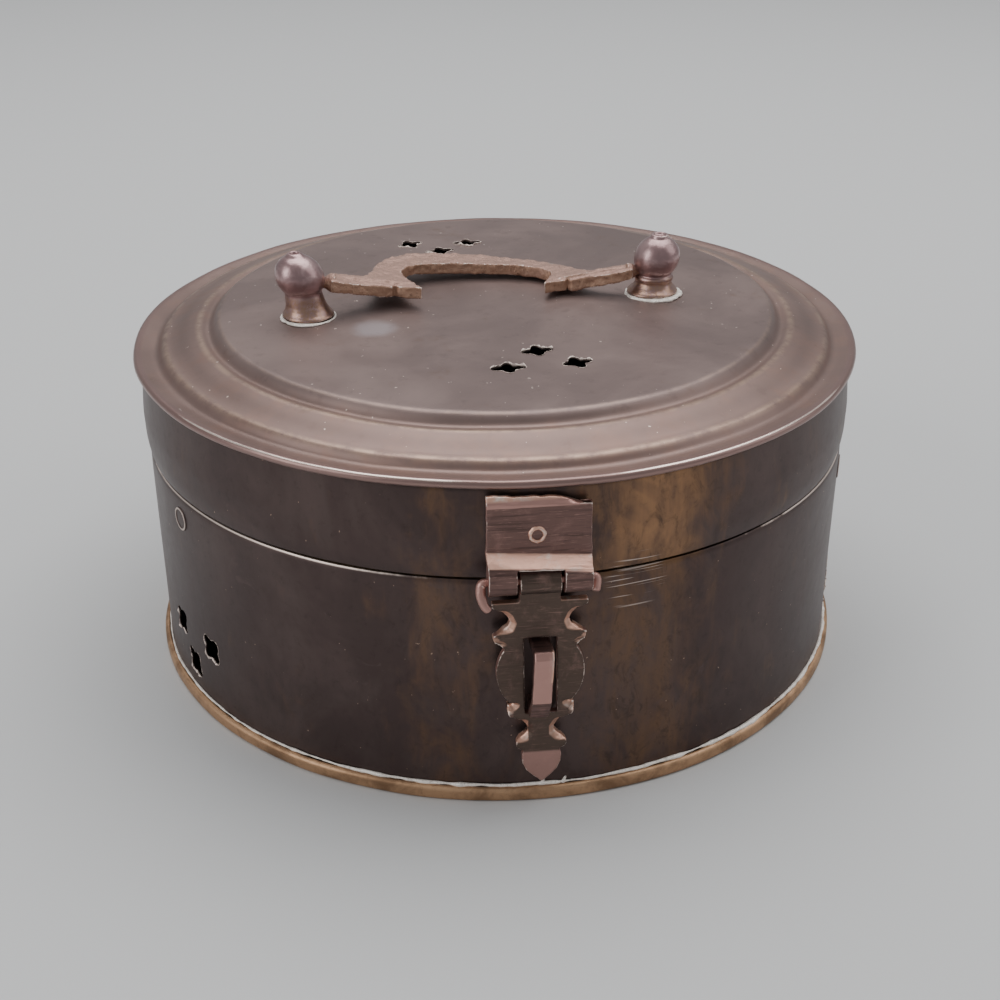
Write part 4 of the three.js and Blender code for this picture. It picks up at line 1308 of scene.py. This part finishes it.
def staple(sizes):
    """A strap bent into a loop that stands out through the slot, its tails turned over inside."""
    outline = [
        (-59.3, 27.4), (-60.2, 27.4), (-60.3, 29.2), (-65.6, 29.1), (-66.1, 28.2), (-66.5, 22.6),
        (-65.2, 19.4), (-60.3, 19.4), (-60.2, 21.6), (-59.3, 21.6), (-59.3, 18.6), (-59.7, 18.2),
        (-65.7, 18.1), (-66.4, 18.7), (-67.8, 22.0), (-67.4, 29.3), (-66.6, 30.3), (-59.7, 30.4),
        (-59.3, 30.2)]
    loop = laid(slab("hasp_staple", outline, -1.5, 1.5, (), 0.22), SIDE_ON)
    wrought(loop, sizes.metal_skin / MM, 1)
    points = points_of(loop)
    reach = np.clip((-61.5 - points[:, 1]) / 4, 0, 1)
    points[:, 0] += STAPLE_X + reach * 0.055 * (points[:, 2] - 24.5)
    set_points(loop, points)
    roughen(loop, 0.07, 1.8, 31)
    measure_relief(loop, 0.28, 2)
    normals = normals_of(loop)
    # painted light: the strap takes the lighter cut colour where it faces forward, with painted shade where
    # it faces down
    store(loop, "cut", np.clip(-normals[:, 1], 0, 1) * np.clip(1 + normals[:, 2] * 2.4, 0.1, 1))
    points = points_of(loop)
    nicked = (points[:, 0] > STAPLE_X + 0.9) * (points[:, 1] < -66) * (points[:, 2] > 25.5)
    store(loop, "bare_and_glint", np.clip(np.abs(normals[:, 0]) * 2, 0, 1) * nicked)
    return loop


def pin_wire():
    """The wire through the barrels, its ends hooked down."""
    y, z = HASP_PIN
    end = BRACKET_HALF + 0.6
    left = curved([(-end + 0.75, y - 1.3, z - 3.9), (-end, y - 1.1, z - 3.1), (-end - 0.45, y - 0.6, z - 1.6),
                   (-end - 0.3, y - 0.1, z - 0.2), (-end + 0.5, y, z + 0.1)], 6)
    right = curved([(end - 0.6, y, z), (end - 0.05, y - 0.1, z + 0.1), (end + 0.1, y - 0.5, z - 0.6),
                    (end - 0.2, y - 1.3, z - 1.6)], 5)
    path = [point + Vector((HASP_X, 0, 0)) for point in left + right]
    radii = [0.66] * len(path)
    for i in range(len(left)):
        radii[i] = 0.62 + 0.14 * math.sin(math.pi * i / len(left))
    radii[0] = 0.4
    radii[-1] = 0.5
    wire = rod("hasp_pin_wire", path, radii, 14)
    rounded_shading(wire, 50)
    return wire


class BOX_OT_hasp(bpy.types.Operator):
    """Build the hasp's bracket, rivet, pin, cusped leaf and staple"""
    bl_idname = "lidded_box.hasp"
    bl_label = "Hasp"

    def execute(self, context):
        sizes = context.scene.box_sizes
        for piece, body, coat, slot, node in (
                (bracket(sizes), "lid", "hasp", "hasp_copper", "hasp_bracket"),
                (leaf(sizes), "hasp", "leaf", "leaf_copper", "hasp_leaf"),
                (staple(sizes), "base", "hasp", "hasp_copper", "staple")):
            rounded_shading(piece, 70)
            finished(piece, body, finish(coat), slot, node)
        wire = pin_wire()
        measure_relief(wire, 0.3, 1)
        store(wire, "cut", np.full(len(wire.data.vertices), 0.8))
        roughen(wire, 0.08, 1.2, 35)
        finished(wire, "lid", finish("hasp"), "hasp_copper", "hasp_pin")
        profile = [(0, 62.2), (0.6, 62.25), (0.72, 63.1), (0.85, 63.5), (1.08, 63.58), (1.3, 63.4),
                   (1.4, 63.1), (1.1, 63.0), (1.1, 60.45), (1.9, 60.45), (1.9, 60.1), (1.4, 59.7), (0, 59.7)]
        rivet_x, rivet_z = HASP_RIVET
        rivet = turned("hasp_rivet_head", eased(resampled(profile, 0.1), 1), 40)
        laid(rivet, Matrix.Translation((rivet_x * MM, 0, rivet_z * MM)) @ FRONT_ON)
        roughen(rivet, 0.11, 0.7, 33)
        measure_relief(rivet, 0.3, 1)
        points = points_of(rivet)
        out = np.hypot(points[:, 0] - rivet_x, points[:, 2] - rivet_z)
        store(rivet, "bare_and_glint", np.clip((out - 0.72) / 0.12, 0, 1))
        rounded_shading(rivet, 60)
        finished(rivet, "lid", finish("hasp"), "hasp_copper", "hasp_rivet")
        return {"FINISHED"}


# ---- knobs and bail ----

KNOB_BALL = 3.95
KNOBS = {
    "left": {"x": -32.3, "y": -4.8, "ball": 6.9, "pivot": 5.6, "lean": -0.16, "solder": 0.21,
             "solder_side": -45},
    "right": {"x": 27.75, "y": -0.75, "ball": 6.2, "pivot": 4.0, "lean": 0.1, "solder": 0.42,
              "solder_side": 25},
}


def knob_foot(knob):
    """Height at which a knob stands on the lid."""
    return plateau(math.hypot(knob["x"], knob["y"])) + 0.2


def knob_profile(side, ball):
    neck = ball - 3.9
    profile = [(0, -2.1), (2, -2.1), (2.4, -1.8), (2.4, -1.25), (1.4, -1.25), (1.4, 0.1), (4.3, 0.1),
               (4.42, 0.35), (4.2, 0.62)]
    if side == "left":
        profile += [(3.9, 0.95), (3.6, 1.5), (3.38, 2.2), (3.28, 3.0), (3.2, 3.7), (3.15, 4.1)]
        profile += [(1.04 * r, z) for r, z in arc(0, ball, KNOB_BALL, -39, 66, 28)]
        profile += [(1.45, ball + 3.85), (1.1, ball + 4.15), (0.8, ball + 4.2), (0.6, ball + 3.8),
                    (0.5, ball + 2.9), (0, ball + 2.8)]
    else:
        profile += [(3.85, 0.9), (3.5, 1.25), (3.2, neck - 0.5), (3.12, neck - 0.1), (3.3, neck + 0.15),
                    (3.38, neck + 0.5), (3.25, neck + 0.85), (2.95, neck + 1.05)]
        profile += arc(0, ball, KNOB_BALL, -42, 66, 28)
        profile += [(1.6, ball + 3.75), (1.5, ball + 4.15), (1.05, ball + 4.2), (0.9, ball + 3.85),
                    (0, ball + 3.7)]
    return profile


def build_knob(side):
    """One turned knob, leaning a little, with its neck rubbed."""
    knob = KNOBS[side]
    profile = eased(resampled(knob_profile(side, knob["ball"]), 0.14), 1)
    piece = turned(f"knob_{side}_turned", profile, 96)
    points = points_of(piece)
    height = np.maximum(points[:, 2], 0)
    neck = knob["ball"] - 2.6
    rubbed = np.clip((neck - points[:, 2]) / 0.9, 0, 1)
    store(piece, "neck", rubbed * (points[:, 2] > 0.05))
    points[:, 0] += knob["lean"] * height
    set_points(piece, points + Vector((knob["x"], knob["y"], knob_foot(knob))))
    roughen(piece, 0.07, 3.0, 41 + knob["x"])
    measure_relief(piece, 0.4, 2)
    rounded_shading(piece, 50)
    return piece


def build_knob_solder(side):
    """A lumpy collar of solder round the knob's foot, fuller on the side where it ran."""
    knob = KNOBS[side]
    segments, sides = 120, 10
    points = []
    for i in range(segments):
        degrees = 360 * i / segments
        ran = 0.5 + 0.5 * math.cos(math.radians(degrees - knob["solder_side"]))
        lumps = 1 + 0.5 * wave(degrees, 24, knob["x"]) + 0.3 * wave(degrees, 9, knob["y"] + 4)
        half = (0.1 + knob["solder"] * ran) * max(0.35, lumps)
        radius = 4.4 + half * 0.7
        for k in range(sides):
            angle = 2 * math.pi * k / sides
            points.append(bearing(degrees, radius + half * 1.25 * math.cos(angle),
                                  -0.12 + half * 0.7 * math.sin(angle)))
    shift = Vector((knob["x"], knob["y"], knob_foot(knob)))
    piece = new_piece(f"knob_{side}_solder", [p + shift for p in points], ring_faces(segments, sides))
    face_outwards(piece)
    rounded_shading(piece, 60)
    return piece


class BOX_OT_knobs(bpy.types.Operator):
    """Build the two turned knobs and the solder at their feet"""
    bl_idname = "lidded_box.knobs"
    bl_label = "Knobs"

    def execute(self, context):
        for side in KNOBS:
            finished(build_knob(side), "lid", finish("knob"), "knob_brown", f"knob_{side}")
            finished(build_knob_solder(side), "lid", finish("solder"), "solder", f"knob_solder_{side}")
        return {"FINISHED"}


# right half of the bail's outline in its own plane, with u along the line through both knobs
BAIL_OUTER = [(26.2, 1.8), (23.5, 2.4), (21, 3.1), (19.3, 4.6), (18.3, 7), (17.2, 10.2), (15, 13.4),
              (10.9, 16.1), (5.4, 17.6), (0, 18)]
BAIL_INNER = [(0, 12.1), (5.5, 11.7), (9.4, 11), (11.8, 9.6), (13.1, 7.4), (13, 5.6), (12.2, 3.2),
              (10.6, -0.8), (12.4, -0.2), (14.4, 0.3), (15.1, 0.95), (15.7, 0.2), (19, 0), (21.5, -0.8),
              (24, -1.5), (26.2, -1.7)]


def bail_drop(u, v):
    """How far the bar lies below its tenons."""
    along = min(max((26 - abs(u)) / 9, 0), 1)
    return 2.2 * along + 0.5 * (1 + min(max(u / 12, -1), 1)) * max(0, v - 2) / 16


def bail_frame():
    """The bail's own axes: its middle, with X through both knobs."""
    ends = [Vector((k["x"], k["y"], 60.9 + k["pivot"])) for k in (KNOBS["left"], KNOBS["right"])]
    line = ends[1] - ends[0]
    turn = math.atan2(line.y, line.x)
    tilt = -math.asin(line.z / line.length)
    centre = (ends[0] + ends[1]) / 2
    return Matrix.Translation(centre * MM) @ Matrix.Rotation(turn, 4, "Z") @ Matrix.Rotation(tilt, 4, "Y")


def build_bail(sizes):
    """The flat cusped bar, its necks and the tenons that turn in the knobs."""
    even = BAIL_OUTER + [(-u, v) for u, v in reversed(BAIL_OUTER)][1:]
    even += [(-u, v) for u, v in reversed(BAIL_INNER)] + BAIL_INNER[1:]
    outline = [(u, v - 0.2 * u * max(0, v) / 18) for u, v in even]
    bar = slab("bar", resampled(outline, 1.0), -1.0, 1.0, (), 0.28)
    tenons = [laid(slab("tenon", arc(0, 0, 0.8, 0, 337.5, 15), low, high), SIDE_ON)
              for low, high in ((-28.6, -25.4), (25.4, 28.6))]
    points = points_of(bar)
    points[:, 2] -= [bail_drop(u, v) for u, v in points[:, :2]]
    set_points(bar, points)
    necks = []
    for side in (-1, 1):
        path = [(side * u, 0, 0) for u in (25.4, 26.2, 26.7, 27.2)]
        necks.append(rod("neck", path, [1.5, 1.45, 1.2, 0.85], 14))
    whole = joined("bail", [bar, *tenons, *necks])
    wrought(whole, sizes.metal_skin * 1.3 / MM, 1)
    roughen(whole, 0.2, 2.6, 51, 0.7)
    measure_relief(whole, 0.4, 2)
    side_cut(whole, (0, 0, 1))
    laid(whole, bail_frame())
    rounded_shading(whole, 70)
    return whole


class BOX_OT_bail(bpy.types.Operator):
    """Build the cusped bail"""
    bl_idname = "lidded_box.bail"
    bl_label = "Bail"

    def execute(self, context):
        finished(build_bail(context.scene.box_sizes), "handle", finish("bail"), "bail_tan", "handle_bail")
        return {"FINISHED"}


# ---- rear hinge ----

def rear_plate(name, plates, back, barrels, seed, sizes):
    """A leaf: flat plates with rolled knuckles on the hinge's line."""
    pin_y, pin_z = HINGE_PIN
    pieces = []
    for x0, x1, z0, z1 in plates:
        outline = [(x0, z0), (x1, z0), (x1, z1), (x0, z1)]
        pieces.append(laid(slab("plate", outline, -back - STRAP, -back, (), 0.22), FRONT_ON))
    for x0, x1 in barrels:
        pieces.append(laid(slab("knuckle", arc(pin_y, pin_z, 1.9, 0, 345, 23), x0, x1), SIDE_ON))
    whole = joined(name, pieces)
    wrought(whole, sizes.metal_skin * 1.2 / MM, 1)
    roughen(whole, 0.07, 2.4, seed)
    measure_relief(whole, 0.3, 2)
    side_cut(whole, (0, 1, 0))
    rounded_shading(whole, 70)
    return whole


def rear_turned(name, profile, x, z):
    """Turned about an axis along +Y."""
    piece = turned(name, eased(resampled(profile, 0.12), 1), 32)
    return laid(piece, Matrix.Translation((x * MM, 0, z * MM)) @ BACK_ON)


class BOX_OT_hinge(bpy.types.Operator):
    """Build the rear hinge's leaves, rivets and pin"""
    bl_idname = "lidded_box.hinge"
    bl_label = "Rear hinge"

    def execute(self, context):
        sizes = context.scene.box_sizes
        seam = HINGE_PIN[1]
        base_back, lid_back = 61.45, 62.0
        base = rear_plate("hinge_base_leaf_plate", [(-9, 9, 26.5, seam - 2.4), (-3.2, 3.2, 36, seam)],
                          base_back, [(-3.2, 3.2)], 87.5, sizes)
        finished(base, "base", finish("hinge"), "hinge_copper", "hinge_base_leaf")
        lid = rear_plate("hinge_lid_leaf_plate",
                         [(-9, 9, seam + 2.4, 53.4), (-9, -3.5, seam, 43), (3.5, 9, seam, 43)], lid_back,
                         [(-9, -3.5), (3.5, 9)], 103.1, sizes)
        finished(lid, "lid", finish("hinge"), "hinge_copper", "hinge_lid_leaf")
        for body, back, tail, z in (("base", base_back, 59.8, 31), ("lid", lid_back, 60.1, 48.6)):
            head = back + STRAP
            for side, x in (("left", -5.6), ("right", 5.6)):
                profile = [(0, head + 0.75), (0.9, head + 0.6), (1.45, head + 0.25), (1.6, head + 0.02),
                           (0.9, head + 0.02), (0.9, tail), (1.5, tail), (1.4, tail - 0.45), (0, tail - 0.55)]
                rivet = rear_turned(f"hinge_{body}_rivet_{side}_head", profile, x, z)
                measure_relief(rivet, 0.3, 1)
                rounded_shading(rivet, 50)
                finished(rivet, body, finish("hinge"), "hinge_copper", f"hinge_{body}_rivet_{side}")
        profile = [(0, -10.2), (0.9, -10.1), (1.2, -9.5), (1.2, -9.2), (0.7, -9.2), (0.7, 9.2), (1.2, 9.2),
                   (1.2, 9.5), (0.9, 10.1), (0, 10.2)]
        pin = turned("hinge_pin_rod", eased(resampled(profile, 0.15), 1), 32)
        level = Matrix.Rotation(math.pi / 2, 4, "Y")
        laid(pin, Matrix.Translation((0, HINGE_PIN[0] * MM, seam * MM)) @ level)
        measure_relief(pin, 0.3, 1)
        rounded_shading(pin, 50)
        finished(pin, "lid", finish("hinge"), "hinge_copper", "hinge_pin")
        return {"FINISHED"}


# ---- panel and registration ----

OPERATORS = (BOX_OT_stage, BOX_OT_lid, BOX_OT_wall, BOX_OT_foot, BOX_OT_hasp, BOX_OT_knobs, BOX_OT_bail,
             BOX_OT_hinge)


class BOX_PT_panel(bpy.types.Panel):
    """Lists the box's pieces and settings"""
    bl_label = "Lidded Box"
    bl_idname = "BOX_PT_panel"
    bl_space_type = "VIEW_3D"
    bl_region_type = "UI"
    bl_category = "Lidded Box"

    def draw(self, context):
        for operator in OPERATORS:
            self.layout.operator(operator.bl_idname)
        for settings in (context.scene.box_sizes, context.scene.box_colours, context.scene.box_stage):
            column = self.layout.column()
            for name in settings.__annotations__:
                column.prop(settings, name)


CLASSES = (BoxSizes, BoxColours, BoxStage, *OPERATORS, BOX_PT_panel)


def register():
    for entry in CLASSES:
        bpy.utils.register_class(entry)
    bpy.types.Scene.box_sizes = PointerProperty(type=BoxSizes)
    bpy.types.Scene.box_colours = PointerProperty(type=BoxColours)
    bpy.types.Scene.box_stage = PointerProperty(type=BoxStage)


def unregister():
    del bpy.types.Scene.box_stage
    del bpy.types.Scene.box_colours
    del bpy.types.Scene.box_sizes
    for entry in reversed(CLASSES):
        bpy.utils.unregister_class(entry)


def main():
    register()
    bpy.ops.lidded_box.stage()
    bpy.ops.lidded_box.lid()
    bpy.ops.lidded_box.wall()
    bpy.ops.lidded_box.foot()
    bpy.ops.lidded_box.hasp()
    bpy.ops.lidded_box.knobs()
    bpy.ops.lidded_box.bail()
    bpy.ops.lidded_box.hinge()
    bpy.context.view_layer.update()


if __name__ == "__main__":
    main()
